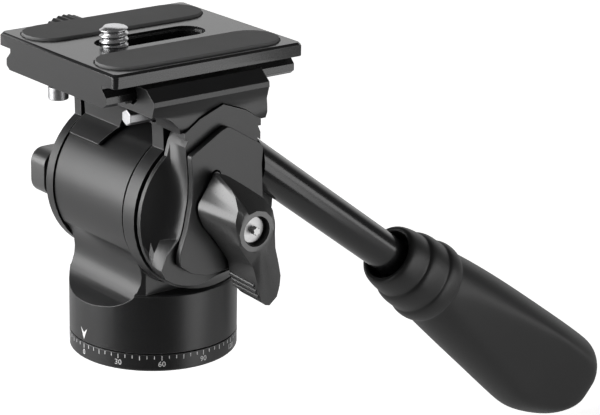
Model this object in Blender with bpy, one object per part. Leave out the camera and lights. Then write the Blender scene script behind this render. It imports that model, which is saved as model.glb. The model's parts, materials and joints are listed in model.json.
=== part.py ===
"""A two-way tripod head: graduated foot, pan body with a drum, tilting yoke with an arm for the
handle, and a quick-release clamp with its plate.

Metres, +Z up. The origin is the centre of the foot's underside. The lens side faces -Y, the tilt
axis runs along X, and the handle and the tilt lock are on the +X side.
"""
import math

import bmesh
import bpy
from mathutils import Matrix, Vector

mm = 0.001

# Driving dimensions
GAP = 0.3 * mm                  # between neighbouring pieces
OVER = 2.0 * mm                 # how far a cut runs past the face that it opens
FINE_STEPS = 64                 # sides of a large round
ROUND_STEPS = 30                # sides of a middle-sized round
SMALL_STEPS = 14                # sides of a screw or a pin

# Foot
RING_STEP = 1.18 * mm           # foot's side beyond the drum's
RING_H = 4.0 * mm
RING_CHAMFER = 0.41 * mm
RING_WALL = 4.98 * mm           # ring's side in to the hub
HUB_FLANGE = 1.9 * mm
SPINDLE_R = 8.5 * mm
BUSH_R = 5.7 * mm
BUSH_BORE_R = 4.0 * mm          # minor radius of a 3/8 inch thread
BUSH_H = 9.6 * mm
HUB_WEB = 1.0 * mm
FOOT_SCREW_IN = 2.7 * mm        # foot screws' circle from the hub's side
FOOT_SCREW_R = 1.1 * mm
FOOT_SCREW_HEAD_R = 1.9 * mm
FOOT_SCREW_HEAD_H = 0.9 * mm
FOOT_SCREW_COUNT = 3

# Pan bearing
SHOULDER_RISE = 10.7 * mm       # pan body's underside to its inner shoulder
LOWER_WASHER_IN = 1.0 * mm      # washer's edge from the hub's side
LOWER_WASHER_T = 0.9 * mm
UPPER_WASHER_T = 1.3 * mm
RETAINER_R = 10.3 * mm
RETAINER_T = 2.2 * mm
RETAINER_SCREW_R = 2.0 * mm
RETAINER_SCREW_HEAD_R = 4.2 * mm
RETAINER_SCREW_REACH = 5.0 * mm  # into the spindle

# Pan body
BASE_H = 13.5 * mm
BASE_CHAMFER = 0.3 * mm
DRUM_R = 17.8 * mm
DRUM_LEFT = 12.8 * mm           # tilt axis runs along X, these are distances from the middle
DRUM_RIGHT = 14.3 * mm
DRUM_BORE_R = 11.0 * mm
SCOOP_R = 8.6 * mm              # hollows below the drum, front and rear
SCOOP_BITE = 0.35 * mm
SCOOP_OUT = 3.5 * mm            # scoop's middle in front of the drum
DRUM_STEP = 0.7 * mm            # groove at the drum's near end

# Yoke cheeks and tongue
CHEEK_LEFT_T = 2.6 * mm
CHEEK_RIGHT_T = 4.1 * mm
CHEEK_PROUD = 0.4 * mm          # cheek's rim beyond the drum
CHEEK_CLEAR = 1.0 * mm          # cheek's rim above the base's top
SPIGOT_R = 15.0 * mm
SPIGOT_T = 0.5 * mm
NECK_HALF = 10.4 * mm           # half width of a cheek's neck, front to rear
NECK_FLARE = 0.4 * mm
TONGUE_T = 0.9 * mm
TONGUE_LEFT = 11.5 * mm         # from the middle to the tongue's left edge
TONGUE_W = 11.2 * mm            # its width at the lip
TONGUE_SLANT = 4.5 * mm
TONGUE_ANGLE = 50.0             # degrees from the top of the drum to the tongue's lip
TONGUE_CLEAR = 0.4 * mm

# Clamp
CLAMP_FLOOR = 8.5 * mm          # clamp floor above the drum's top
CLAMP_BASE_H = 6.4 * mm
CLAMP_FRONT_IN = 7.5 * mm       # clamp's front in from the plate's front end
CLAMP_REAR_IN = 11.8 * mm       # clamp's rear in from the plate's rear end
CLAMP_WALL = 6.7 * mm           # from the dovetail's tip to the clamp's side
CLAMP_SEAT = 3.5 * mm           # from the dovetail's tip in to the face that the jaw closes on
CLAMP_SCOOP_R = 7.6 * mm
CLAMP_SCOOP_IN = 0.5 * mm
CLAMP_SCOOP_END = 20.0          # degrees, lower end of its arc
CLAMP_FRONT_LIP = 1.5 * mm      # height of the front edge below the floor
CLAMP_FIT = 0.35 * mm           # play of the plate's dovetail
LIP_DROP = 0.9 * mm             # clamp's top edge below the plate's flange

# Plate
PLATE_L = 49.6 * mm
PLATE_RIM = 3.15 * mm           # plate's edge beyond its dovetail
PLATE_Y = -0.8 * mm
PLATE_H = 7.9 * mm
FLANGE_T = 3.0 * mm
DOVE_W = 39.0 * mm              # over the dovetail's tips
DOVE_NECK_IN = 1.6 * mm
DOVE_TIP_LOW = 0.9 * mm
DOVE_TIP_HIGH = 2.4 * mm
DOVE_FOOT_IN = 1.2 * mm
PLATE_CORNER = 1.2 * mm
SLOT_STEP = 0.85 * mm           # how much wider the slot's upper part is, each side
SLOT_STEP_H = 0.8 * mm
SLOT_REAR = 8.8 * mm            # last place of the screw in its slot
POCKET_ROOF = 4.0 * mm          # plate left above the pocket
CAMERA_SCREW_Y = -10.4 * mm
CAMERA_SCREW_R = 3.17 * mm
CAMERA_SCREW_PROUD = 3.7 * mm
CAMERA_HEAD_R = 7.3 * mm
CAMERA_HEAD_H = 2.0 * mm
SCREW_WASHER_T = 0.6 * mm
STRIP_IN = 8.25 * mm            # strip's middle from the plate's side
STRIP_W = 12.4 * mm
STRIP_L = 46.0 * mm
STRIP_T = 0.9 * mm
STRIP_SEAT = 0.6 * mm
STOP_R = 2.25 * mm
STOP_H = 3.1 * mm
STOP_X = 2.3 * mm
STOP_IN = 2.3 * mm              # stop screw's middle from the plate's end
STOP_SHANK_R = 1.4 * mm
STOP_SHANK_L = 3.2 * mm

# Arm on the operator's side
ARM_DEPTH = 6.5 * mm
ARM_RIM = 1.0 * mm
SHIELD_T = 2.8 * mm
SHIELD_H = 6.3 * mm
SHIELD_ROOT = 1.1 * mm          # how far it starts below the clamp
COVER_T = 1.55 * mm
COVER_PIN_R = 1.0 * mm
COVER_PIN_PROUD = 0.2 * mm
COVER_PIN_L = 2.0 * mm
COVER_CORNER = 0.6 * mm
ARM_SCREW_R = 1.2 * mm
ARM_SCREW_HEAD_R = 1.9 * mm
ARM_SCREW_HEAD_H = 2.0 * mm

# Tilt axle, its sleeve and its drag discs
AXLE_R = 4.0 * mm
AXLE_FLANGE_T = 2.0 * mm
AXLE_START = 4.6 * mm
AXLE_THREAD_R = 2.5 * mm
SLEEVE_R = 7.5 * mm
DISC_T = 0.7 * mm
DISC_COUNT = 5                  # fixed and turning ones by turns
CHEEK_BUSH_T = 0.7 * mm

# Tilt-lock knob
KNOB_CLEAR = 0.65 * mm
KNOB_DEPTH = 9.8 * mm
KNOB_R = 17.8 * mm
KNOB_BOSS_R = 4.6 * mm
KNOB_SCREW_HEAD_R = 2.9 * mm
KNOB_SCREW_HEAD_H = 1.7 * mm
KNOB_SCREW_R = 1.45 * mm
KNOB_WELL_R = 3.4 * mm
KNOB_WELL = 2.0 * mm
KNOB_WEB = 1.4 * mm
KNOB_ROUND = 1.4 * mm
INSERT_R = 4.2 * mm
INSERT_WALL = 1.4 * mm
THRUST_R = 5.2 * mm

# Pan lock on the far side
TRUNNION_R = 6.0 * mm
TRUNNION_PROUD = 2.9 * mm       # beyond the far cheek
PAN_STUD_R = 2.9 * mm
PAN_STUD_IN = 5.0 * mm
WEDGE_TIP = 1.4 * mm
WEDGE_TIP_R = 0.3 * mm
WEDGE_L = 3.3 * mm              # round part of the wedge
PIN_R = 2.5 * mm
PIN_TIP_R = 0.5 * mm
SHOE_R = 5.0 * mm
SHOE_T = 1.8 * mm
PAN_KNOB_BOSS_R = 8.0 * mm
PAN_KNOB_BOSS_L = 7.0 * mm
PAN_WING_R = 16.0 * mm
PAN_WING_ROUND = 3.2 * mm
PAN_WING_H = 10.5 * mm
PAN_WING_T = 5.6 * mm

# Clamp screw and knob
CLAMP_SCREW_DROP = 2.5 * mm     # screw's axis below the clamp floor
CLAMP_SCREW_R = 1.8 * mm
CLAMP_SCREW_BACK = 2.95 * mm    # its axis behind the clamp's middle
CLAMP_KNOB_R = 8.2 * mm
CLAMP_KNOB_L = 9.5 * mm
CLAMP_KNOB_TEETH = 36
CLAMP_KNOB_TOOTH = 0.35 * mm
CLAMP_KNOB_WALL = 2.0 * mm
CLAMP_SCREW_END = 4.3 * mm      # the screw's inner end from the middle
GUIDE_DROP = 3.2 * mm
GUIDE_R = 1.3 * mm
GUIDE_SPREAD = 6.2 * mm         # from the clamp screw, along Y
GUIDE_REACH = 7.5 * mm          # into the jaw
GUIDE_END = 5.4 * mm
SPRING_R = 2.0 * mm
SPRING_WIRE = 0.3 * mm
SPRING_TURNS = 4
SPRING_POCKET = 4.5 * mm

# Safety button
BUTTON_X = 15.0 * mm
BUTTON_DROP = 3.9 * mm          # its axis below the clamp floor
BUTTON_R = 1.9 * mm
BUTTON_IN = 0.6 * mm            # button's front in from the clamp's
BUTTON_L = 12.0 * mm
BUTTON_TRAVEL = 2.5 * mm
BUTTON_SPRING_L = 3.7 * mm
BUTTON_SPRING_TURNS = 3

# Handle
ROD_R = 4.45 * mm
ROD_SLOPE = 37.1                # degrees below the horizontal
ROD_SEAT = 0.12 * mm            # between the rod's shoulder and the cover's edge
STUB_R = 2.4 * mm               # rod's stub inside the arm
STUB_L = 9.65 * mm
STUB_FLAT = 1.0 * mm            # its flat from the arm's face
ROD_PIN_R = 1.0 * mm
ROD_PIN_BACK = 6.6 * mm         # from the rod's shoulder, along the rod
GRIP_START = 61.0 * mm          # along the rod's axis from y = 0
GRIP_L = 79.0 * mm
GRIP_MOUTH_R = 8.4 * mm
GRIP_BORE_L = 60.0 * mm
GRIP_WELL = 5.0 * mm
GRIP_WELL_R = 5.7 * mm

# Outlines, as shares of the size named beside them
CLAMP_SIDE_SHARES = [           # of the clamp's height: in from its side, down from its top edge
    (0.27, 0), (0.18, 0.085), (0.01, 0.215), (0, 0.32), (0.02, 0.355), (0.085, 0.58), (0.065, 0.76),
    (0.065, 0.87), (0.12, 1),
]
SHIELD_SHARES = [               # of its half width and height
    (-1, 0), (-1, 0.22), (-0.6, 0.64), (0, 1), (0.6, 0.64), (1, 0.22), (1, 0),
]
NECK_SHARES = [(0, 0), (0.22, 0.45), (0.7, 0.8), (1, 1)]    # of the neck's flare and height
ARM_FACE_SHARES = [             # of the arm's radius, round the tilt axis
    (-0.585, 1.15), (-0.545, 0.865), (-0.522, 0.59), (-0.528, 0.315), (-0.545, 0.22), (-0.601, -0.05),
    (-0.697, -0.315), (-0.787, -0.27), (-0.86, -0.40), (-0.91, -0.51), (-0.876, -0.62), (-0.713, -0.73),
    (-0.455, -0.803), (-0.264, -0.809), (-0.135, -0.753), (0.067, -0.719), (0.34, -0.70), (0.59, -0.59),
    (0.70, -0.393), (0.65, -0.11), (0.575, 0.17), (0.556, 0.39), (0.562, 0.99), (0.585, 1.15),
]
COVER_SHARES = [
    (-0.545, 0.871), (-0.522, 0.59), (-0.528, 0.315), (-0.545, 0.22), (-0.601, -0.05), (-0.697, -0.315),
    (-0.708, -0.393), (-0.697, -0.478), (-0.534, -0.60), (-0.315, -0.668), (0.017, -0.65), (0.32, -0.645),
    (0.56, -0.55), (0.655, -0.38), (0.61, -0.10), (0.54, 0.10), (0.527, 0.354), (0.517, 0.59),
    (0.53, 0.82), (0.489, 0.865), (0.051, 1.135), (-0.006, 1.157), (-0.09, 1.129),
]
ARM_SCREW_SHARES = [(-0.371, 0.483), (0.421, -0.449), (-0.309, -0.489)]
COVER_SCREW_SHARES = [(-0.18, 0.573), (0.49, -0.20), (0.14, -0.53)]
COVER_EDGE_SHARE = 0.53         # cover's rear edge, of the arm's radius
SHIELD_HALF_SHARE = 0.5674      # shield's half width, of the arm's radius
KNOB_SHARES = [                 # of the knob's radius
    (-0.05, 0.47), (-0.15, 0.60), (-0.217, 0.635), (-0.27, 0.57), (-0.478, 0.253), (-0.457, 0.14),
    (-0.393, -0.015), (-0.261, -0.167), (-0.10, -0.39), (-0.005, -0.542), (0.022, -0.781),
    (0.152, -0.94), (0.27, -1.03), (0.42, -1.09), (0.51, -1.03), (0.525, -0.80), (0.42, -0.56),
    (0.331, -0.343), (0.331, -0.017), (0.275, 0.135), (0.118, 0.303),
]
KNOB_RIDGE_SHARES = [           # edge of the knob's front, of its radius, and of its depth
    (-0.287, 0.669, 0.17), (-0.247, 0.629, 0.46), (-0.236, 0.449, 0.77), (-0.247, 0.298, 0.91),
    (-0.292, 0.169, 0.93), (-0.275, 0, 0.94), (-0.236, -0.146, 0.94), (-0.146, -0.281, 0.91),
    (0.011, -0.47, 0.83), (0.101, -0.66, 0.77), (0.18, -0.90, 0.70), (0.258, -1.05, 0.62),
    (0.371, -1.09, 0.60), (0.461, -0.97, 0.68), (0.476, -0.73, 0.77), (0.40, -0.49, 0.84),
    (0.33, -0.29, 0.89), (0.303, -0.112, 0.93), (0.303, 0.045, 0.93), (0.275, 0.225, 0.89),
    (0.185, 0.354, 0.77), (0, 0.506, 0.56), (-0.169, 0.635, 0.31),
]
KNOB_WALL_SHARES = (0.12, 0.5, 0.85)    # places between the back outline and the ridge
KNOB_TOP_SHARES = (0.35, 0.75, 1)       # places between the ridge and the boss's edge
KNOB_FINE_ANGLES = [(-95, -40), (100, 140)]    # degrees, where the wings' tips are
ARM_STATION_SHARES = (0, 0.15, 0.35, 0.6, 0.85, 1)
GRIP_STATION_SHARES = [         # length, then up, down, side and facet as shares of the mouth's radius
    (0, 0.83, 0.83, 0.83, 0.83), (0.012, 0.90, 0.90, 0.90, 0.90), (0.06, 0.94, 0.94, 0.93, 0.93),
    (0.078, 1.01, 1.01, 0.98, 0.98), (0.14, 1.07, 1.07, 1.02, 1.02), (0.155, 1.05, 1.05, 1, 1),
    (0.168, 1.13, 1.13, 1.05, 1.05), (0.225, 1.13, 1.13, 1.05, 1.05), (0.245, 1.09, 1.09, 1.02, 1.02),
    (0.27, 1.14, 1.16, 1.05, 1.04), (0.40, 1.20, 1.31, 1.12, 1.02), (0.55, 1.24, 1.47, 1.18, 0.98),
    (0.72, 1.28, 1.67, 1.25, 0.93), (0.78, 1.30, 1.68, 1.26, 0.92), (0.89, 1.31, 1.38, 1.20, 0.90),
    (0.94, 1.30, 1.10, 1.10, 0.88), (0.98, 1.02, 0.76, 0.88, 0.80), (1, 0.62, 0.42, 0.52, 0.52),
]

# Sizes and places that follow from the driving dimensions
RING_R = DRUM_R + RING_STEP
HUB_R = RING_R - RING_WALL
FOOT_SCREW_CIRCLE = HUB_R - FOOT_SCREW_IN
LOWER_WASHER_R = HUB_R - LOWER_WASHER_IN
CHEEK_R = DRUM_R + CHEEK_PROUD
SCOOP_SIDE = DRUM_R + SCOOP_OUT
ARM_R = DRUM_R                  # the arm's disc lines up with the drum
SHIELD_HALF = ARM_R * SHIELD_HALF_SHARE
ROD_RISE = ARM_R                # rod's axis above the tilt axis, at y = 0
ROD_START = ARM_R * COVER_EDGE_SHARE + ROD_SEAT
CLAMP_FRONT = PLATE_L / 2 - PLATE_Y - CLAMP_FRONT_IN
CLAMP_REAR = PLATE_L / 2 + PLATE_Y - CLAMP_REAR_IN
BUTTON_FRONT = CLAMP_FRONT - BUTTON_IN
PAN_Z = RING_H + GAP
BASE_TOP = PAN_Z + BASE_H
TILT_Z = BASE_TOP + CHEEK_CLEAR + CHEEK_R
SHOULDER_Z = PAN_Z + SHOULDER_RISE
SPINDLE_TOP = SHOULDER_Z + GAP + UPPER_WASHER_T
RETAINER_Z = SPINDLE_TOP + GAP
SHOE_Z = RETAINER_Z + RETAINER_T + GAP
PIN_Z = SHOE_Z + SHOE_T + GAP
WEDGE_SHOULDER = WEDGE_TIP - (PAN_STUD_R - WEDGE_TIP_R)
CHEEK_LEFT_X = -(DRUM_LEFT + GAP)
CHEEK_RIGHT_X = DRUM_RIGHT + GAP
SPIGOT_X = CHEEK_RIGHT_X + CHEEK_RIGHT_T
ARM_X = SPIGOT_X + SPIGOT_T + GAP
ARM_FACE = ARM_X + ARM_DEPTH
COVER_X = ARM_FACE + GAP
COVER_TOP = COVER_X + COVER_T
KNOB_BACK = COVER_TOP + KNOB_CLEAR
KNOB_FACE = KNOB_BACK + KNOB_DEPTH
TRUNNION_END = DRUM_LEFT + GAP + CHEEK_LEFT_T + TRUNNION_PROUD
BORE_FIT_R = DRUM_BORE_R - GAP  # of what fills the drum's bore
CLAMP_OUT = DOVE_W / 2 + CLAMP_WALL
CLAMP_LEFT = DOVE_W / 2 - CLAMP_SEAT
NECK_W = DOVE_W - 2 * DOVE_NECK_IN
STRIP_X = DOVE_W / 2 + PLATE_RIM - STRIP_IN
FLOOR_Z = TILT_Z + DRUM_R + CLAMP_FLOOR
CLAMP_UNDER = FLOOR_Z - CLAMP_BASE_H
PLATE_Z = FLOOR_Z + GAP
PLATE_TOP = PLATE_Z + PLATE_H
CLAMP_SCREW_Y = (CLAMP_REAR - CLAMP_FRONT) / 2 + CLAMP_SCREW_BACK
JAW_X = -(CLAMP_LEFT + GAP)
CLAMP_SCREW_Z = FLOOR_Z - CLAMP_SCREW_DROP
LIP_Z = PLATE_Z + PLATE_H - FLANGE_T - LIP_DROP
GUIDE_Z = FLOOR_Z - GUIDE_DROP
ROD_X = ARM_X + ROD_R
ROD_WAY = Vector((0, math.cos(math.radians(ROD_SLOPE)), -math.sin(math.radians(ROD_SLOPE))))
ROD_UP = Vector((0, -ROD_WAY.z, ROD_WAY.y))
ROD_ZERO = Vector((ROD_X, 0, TILT_Z + ROD_RISE))
ROD_SHOULDER = ROD_START / ROD_WAY.y    # along the rod's axis from y = 0
BUTTON_HOLE_END = BUTTON_L + BUTTON_SPRING_L + BUTTON_TRAVEL + 2 * GAP - BUTTON_FRONT

X_AXIS = Vector((1, 0, 0))
Y_AXIS = Vector((0, 1, 0))
Z_AXIS = Vector((0, 0, 1))


def clear_scene():
    for item in list(bpy.data.objects):
        bpy.data.objects.remove(item, do_unlink=True)


def make_material(name, colour, metallic, roughness):
    material = bpy.data.materials.new(name)
    material.use_nodes = True
    shader = material.node_tree.nodes["Principled BSDF"]
    shader.inputs["Base Color"].default_value = (*colour, 1)
    shader.inputs["Metallic"].default_value = metallic
    shader.inputs["Roughness"].default_value = roughness
    material.diffuse_color = (*colour, 1)
    return material


def finish_object(name, bm, material):
    """Close the bmesh, give it to a new object and shade it smooth between its sharp edges."""
    bmesh.ops.remove_doubles(bm, verts=bm.verts, dist=GAP / 1000)
    bmesh.ops.recalc_face_normals(bm, faces=bm.faces)
    mesh = bpy.data.meshes.new(name)
    bm.to_mesh(mesh)
    bm.free()
    mesh.shade_smooth()
    mesh.set_sharp_from_angle(angle=math.radians(32))
    item = bpy.data.objects.new(name, mesh)
    bpy.context.scene.collection.objects.link(item)
    if material:
        mesh.materials.append(material)
    else:
        item.hide_render = True
        item.display_type = "WIRE"
    return item


def set_origin(item, place):
    """Move the origin to a joint's axis and leave the shape where it is."""
    item.data.transform(Matrix.Translation(-Vector(place)))
    item.location = place


def aim(axis):
    """Turn +Z to the given axis, keeping +X or +Y where it can."""
    axis = Vector(axis).normalized()
    side = Vector((0, 1, 0)) if abs(axis.y) < 0.9 else Vector((0, 0, 1))
    first = side.cross(axis).normalized()
    return Matrix((first, axis.cross(first), axis)).transposed().to_4x4()


def turned(name, profile, origin, axis, material=None, steps=ROUND_STEPS):
    """A turned solid. The profile is (radius, height) points; it is a closed ring, unless it
    starts and ends on the axis."""
    bm = bmesh.new()
    verts = [bm.verts.new((radius, 0, height)) for radius, height in profile]
    edges = [bm.edges.new(pair) for pair in zip(verts, verts[1:])]
    if profile[0][0] > 0:
        edges.append(bm.edges.new((verts[-1], verts[0])))
    bmesh.ops.spin(bm, geom=verts + edges, cent=(0, 0, 0), axis=(0, 0, 1),
                   angle=math.tau, steps=steps, use_merge=True)
    bmesh.ops.remove_doubles(bm, verts=bm.verts, dist=GAP / 1000)
    middles = [vert for vert in bm.verts if vert.co.xy.length < GAP / 1000]
    bmesh.ops.dissolve_verts(bm, verts=middles)
    bm.transform(Matrix.Translation(Vector(origin)) @ aim(axis))
    return finish_object(name, bm, material)


def rod(name, start, end, radius, material=None, steps=SMALL_STEPS, hole=0):
    """A round bar, or a tube if it has a hole's radius."""
    start, end = Vector(start), Vector(end)
    length = (end - start).length
    if hole:
        profile = [(hole, 0), (radius, 0), (radius, length), (hole, length)]
        return turned(name, profile, start, end - start, material, steps)
    bm = bmesh.new()
    bmesh.ops.create_cone(bm, cap_ends=True, segments=steps, radius1=radius, radius2=radius, depth=length)
    bm.transform(Matrix.Translation((start + end) / 2) @ aim(end - start))
    return finish_object(name, bm, material)


def prism(name, outline, axis, low, high, material=None):
    """An outline pushed along X, Y or Z. Its points are (y, z), (x, z) or (x, y)."""
    places = {
        "X": lambda a, b: (low, a, b),
        "Y": lambda a, b: (a, low, b),
        "Z": lambda a, b: (a, b, low),
    }
    way = {"X": X_AXIS, "Y": Y_AXIS, "Z": Z_AXIS}[axis]
    bm = bmesh.new()
    face = bm.faces.new([bm.verts.new(places[axis](a, b)) for a, b in outline])
    pushed = bmesh.ops.extrude_face_region(bm, geom=[face], use_keep_orig=True)
    moved = [item for item in pushed["geom"] if isinstance(item, bmesh.types.BMVert)]
    bmesh.ops.translate(bm, verts=moved, vec=way * (high - low))
    return finish_object(name, bm, material)


def block(name, low, high, material=None):
    outline = [(low[0], low[1]), (high[0], low[1]), (high[0], high[1]), (low[0], high[1])]
    return prism(name, outline, "Z", low[2], high[2], material)


def loft(name, rings, material=None):
    """Join rings of points, all with the same count, and close both ends."""
    bm = bmesh.new()
    loops = [[bm.verts.new(point) for point in ring] for ring in rings]
    for lower, upper in zip(loops, loops[1:]):
        for index in range(len(lower)):
            after = (index + 1) % len(lower)
            bm.faces.new((lower[index], lower[after], upper[after], upper[index]))
    bm.faces.new(loops[0])
    bm.faces.new(loops[-1])
    return finish_object(name, bm, material)


def combine(item, tool, operation):
    modifier = item.modifiers.new(f"{operation.lower()} {tool.name}", "BOOLEAN")
    modifier.operation = operation
    modifier.solver = "EXACT"
    modifier.object = tool
    return item


def cut(item, *tools):
    for tool in tools:
        combine(item, tool, "DIFFERENCE")


def add(item, *tools):
    for tool in tools:
        combine(item, tool, "UNION")


def keep_inside(item, tool):
    combine(item, tool, "INTERSECT")


def arc(centre, radius, start, end, count):
    """Points on a circle from one angle to another, in degrees."""
    points = []
    for index in range(count + 1):
        angle = math.radians(start + (end - start) * index / count)
        points.append((centre[0] + radius * math.cos(angle), centre[1] + radius * math.sin(angle)))
    return points


def rounded(points, radius, count=3):
    """The outline with each corner turned into a short curve, at most a third of its sides."""
    result = []
    total = len(points)
    for index, point in enumerate(points):
        here = Vector(point)
        before = Vector(points[index - 1]) - here
        after = Vector(points[(index + 1) % total]) - here
        reach = min(radius, before.length / 3, after.length / 3)
        first = here + before.normalized() * reach
        last = here + after.normalized() * reach
        for step in range(count + 1):
            share = step / count
            spot = first * (1 - share) ** 2 + here * 2 * share * (1 - share) + last * share ** 2
            result.append((spot.x, spot.y))
    return result


def scaled(shares, size, middle):
    """An outline given as shares of a size, set round a middle point."""
    return [(middle[0] + a * size, middle[1] + b * size) for a, b in shares]


def polar(outline, middle, count):
    """The outline read as distances from a middle point, at even angles."""
    corners = [Vector(point) - Vector(middle) for point in outline]
    reaches = []
    for index in range(count):
        angle = math.tau * index / count
        way = Vector((math.cos(angle), math.sin(angle)))
        best = 0
        for first, second in zip(corners, corners[1:] + corners[:1]):
            side = second - first
            base = way.x * side.y - way.y * side.x
            if base == 0:
                continue
            reach = (first.x * side.y - first.y * side.x) / base
            share = (first.x * way.y - first.y * way.x) / base
            if reach > 0 and 0 <= share <= 1:
                best = max(best, reach)
        reaches.append(best)
    return reaches


def ring_at(x, reaches, middle):
    """A ring of points in the plane of one X, from distances at even angles."""
    count = len(reaches)
    ring = []
    for index, reach in enumerate(reaches):
        angle = math.tau * index / count
        ring.append((x, middle[0] + reach * math.cos(angle), middle[1] + reach * math.sin(angle)))
    return ring


def tilt_point(x):
    return (x, 0, TILT_Z)


def fan_points(outline, angles):
    """Where rays from the tilt axis at those angles leave an outline of (x, y, z) points."""
    points = []
    for angle in angles:
        way = Vector((math.cos(angle), math.sin(angle)))
        best = None
        for first, last in zip(outline, outline[1:] + outline[:1]):
            start = Vector((first[1], first[2] - TILT_Z))
            side = Vector((last[1], last[2] - TILT_Z)) - start
            base = way.x * side.y - way.y * side.x
            if base == 0:
                continue
            reach = (start.x * side.y - start.y * side.x) / base
            share = (start.x * way.y - start.y * way.x) / base
            if reach > 0 and 0 <= share <= 1 and (best is None or reach > best[0]):
                best = (reach, first[0] + (last[0] - first[0]) * share)
        points.append((best[1], way.x * best[0], TILT_Z + way.y * best[0]))
    return points


def between(low, high, share):
    return [tuple(Vector(a).lerp(Vector(b), share)) for a, b in zip(low, high)]


def knob_angles():
    """Even angles round the knob, closer together where its wings end."""
    degrees = set(range(-180, 180, 8))
    for start, end in KNOB_FINE_ANGLES:
        degrees.update(range(start, end, 3))
    spaced = []
    for angle in sorted(degrees):
        if not spaced or angle - spaced[-1] > 1:
            spaced.append(angle)
    return [math.radians(angle) for angle in spaced]


def coil(name, start, end, radius, wire, turns, material):
    """A helical spring with plain cut ends, as one closed tube."""
    steps = turns * 10
    sides = 4
    start, end = Vector(start), Vector(end)
    way = (end - start).normalized()
    frame = aim(way)
    pitch = ((end - start).length - 2 * wire) / steps
    rings = []
    for index in range(steps + 1):
        angle = math.tau * turns * index / steps
        out = Vector((math.cos(angle), math.sin(angle), 0))
        centre = out * radius + Z_AXIS * (wire + pitch * index)
        ring = []
        for side in range(sides):
            turn = math.tau * side / sides
            ring.append(start + frame @ (centre + (out * math.cos(turn) + Z_AXIS * math.sin(turn)) * wire))
        rings.append(ring)
    return loft(name, rings, material)


# Foot


def build_foot(black, steel, brass):
    lip_r = SPINDLE_R + GAP
    well_r = HUB_R + GAP
    lip_z = HUB_FLANGE + GAP
    ring_profile = [
        (well_r, 0), (RING_R - RING_CHAMFER, 0), (RING_R, RING_CHAMFER), (RING_R, RING_H),
        (lip_r, RING_H), (lip_r, lip_z), (well_r, lip_z),
    ]
    ring = turned("scale_ring", ring_profile, (0, 0, 0), Z_AXIS, black, FINE_STEPS)

    bore_r = BUSH_R + GAP
    bore_top = BUSH_H + 2 * GAP
    tap_r = RETAINER_SCREW_R + GAP
    tap_z = bore_top + HUB_WEB
    hub_profile = [
        (0, bore_top), (bore_r, bore_top), (bore_r, 0), (HUB_R, 0), (HUB_R, HUB_FLANGE),
        (SPINDLE_R, HUB_FLANGE), (SPINDLE_R, SPINDLE_TOP), (tap_r, SPINDLE_TOP), (tap_r, tap_z), (0, tap_z),
    ]
    hub = turned("base_hub", hub_profile, (0, 0, 0), Z_AXIS, black)
    rod("thread_bush", (0, 0, GAP), (0, 0, GAP + BUSH_H), BUSH_R, brass, ROUND_STEPS, hole=BUSH_BORE_R)

    seat_z = GAP + FOOT_SCREW_HEAD_H
    tip_z = RING_H - 2 * GAP
    screw_profile = [
        (0, GAP), (FOOT_SCREW_HEAD_R, GAP), (FOOT_SCREW_HEAD_R, seat_z),
        (FOOT_SCREW_R, seat_z), (FOOT_SCREW_R, tip_z), (0, tip_z),
    ]
    well = FOOT_SCREW_HEAD_R + GAP
    for number in range(1, FOOT_SCREW_COUNT + 1):
        angle = math.tau * number / FOOT_SCREW_COUNT
        x = FOOT_SCREW_CIRCLE * math.cos(angle)
        y = FOOT_SCREW_CIRCLE * math.sin(angle)
        hole = rod(f"foot screw hole {number}", (x, y, -OVER), (x, y, tip_z + GAP), FOOT_SCREW_R + GAP)
        cut(hub, rod(f"foot screw well {number}", (x, y, -OVER), (x, y, seat_z + GAP), well), hole)
        cut(ring, hole)
        turned(f"foot_screw_{number}", screw_profile, (x, y, 0), Z_AXIS, steel, SMALL_STEPS)

    plate_top = RETAINER_Z + RETAINER_T
    cone = RETAINER_SCREW_HEAD_R - RETAINER_SCREW_R
    hole_r = RETAINER_SCREW_R + GAP
    plate_profile = [
        (hole_r, RETAINER_Z), (RETAINER_R, RETAINER_Z), (RETAINER_R, plate_top),
        (hole_r + cone, plate_top), (hole_r, plate_top - cone),
    ]
    if plate_top - cone <= RETAINER_Z:
        plate_profile = plate_profile[1:-1] + [(hole_r + RETAINER_Z - plate_top + cone, RETAINER_Z)]
    turned("retaining_plate", plate_profile, (0, 0, 0), Z_AXIS, steel)
    screw_profile = [
        (0, SPINDLE_TOP - RETAINER_SCREW_REACH), (RETAINER_SCREW_R, SPINDLE_TOP - RETAINER_SCREW_REACH),
        (RETAINER_SCREW_R, plate_top - cone), (RETAINER_SCREW_HEAD_R, plate_top), (0, plate_top),
    ]
    turned("retaining_screw", screw_profile, (0, 0, 0), Z_AXIS, steel, SMALL_STEPS)


# Pan body and what it holds


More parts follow.
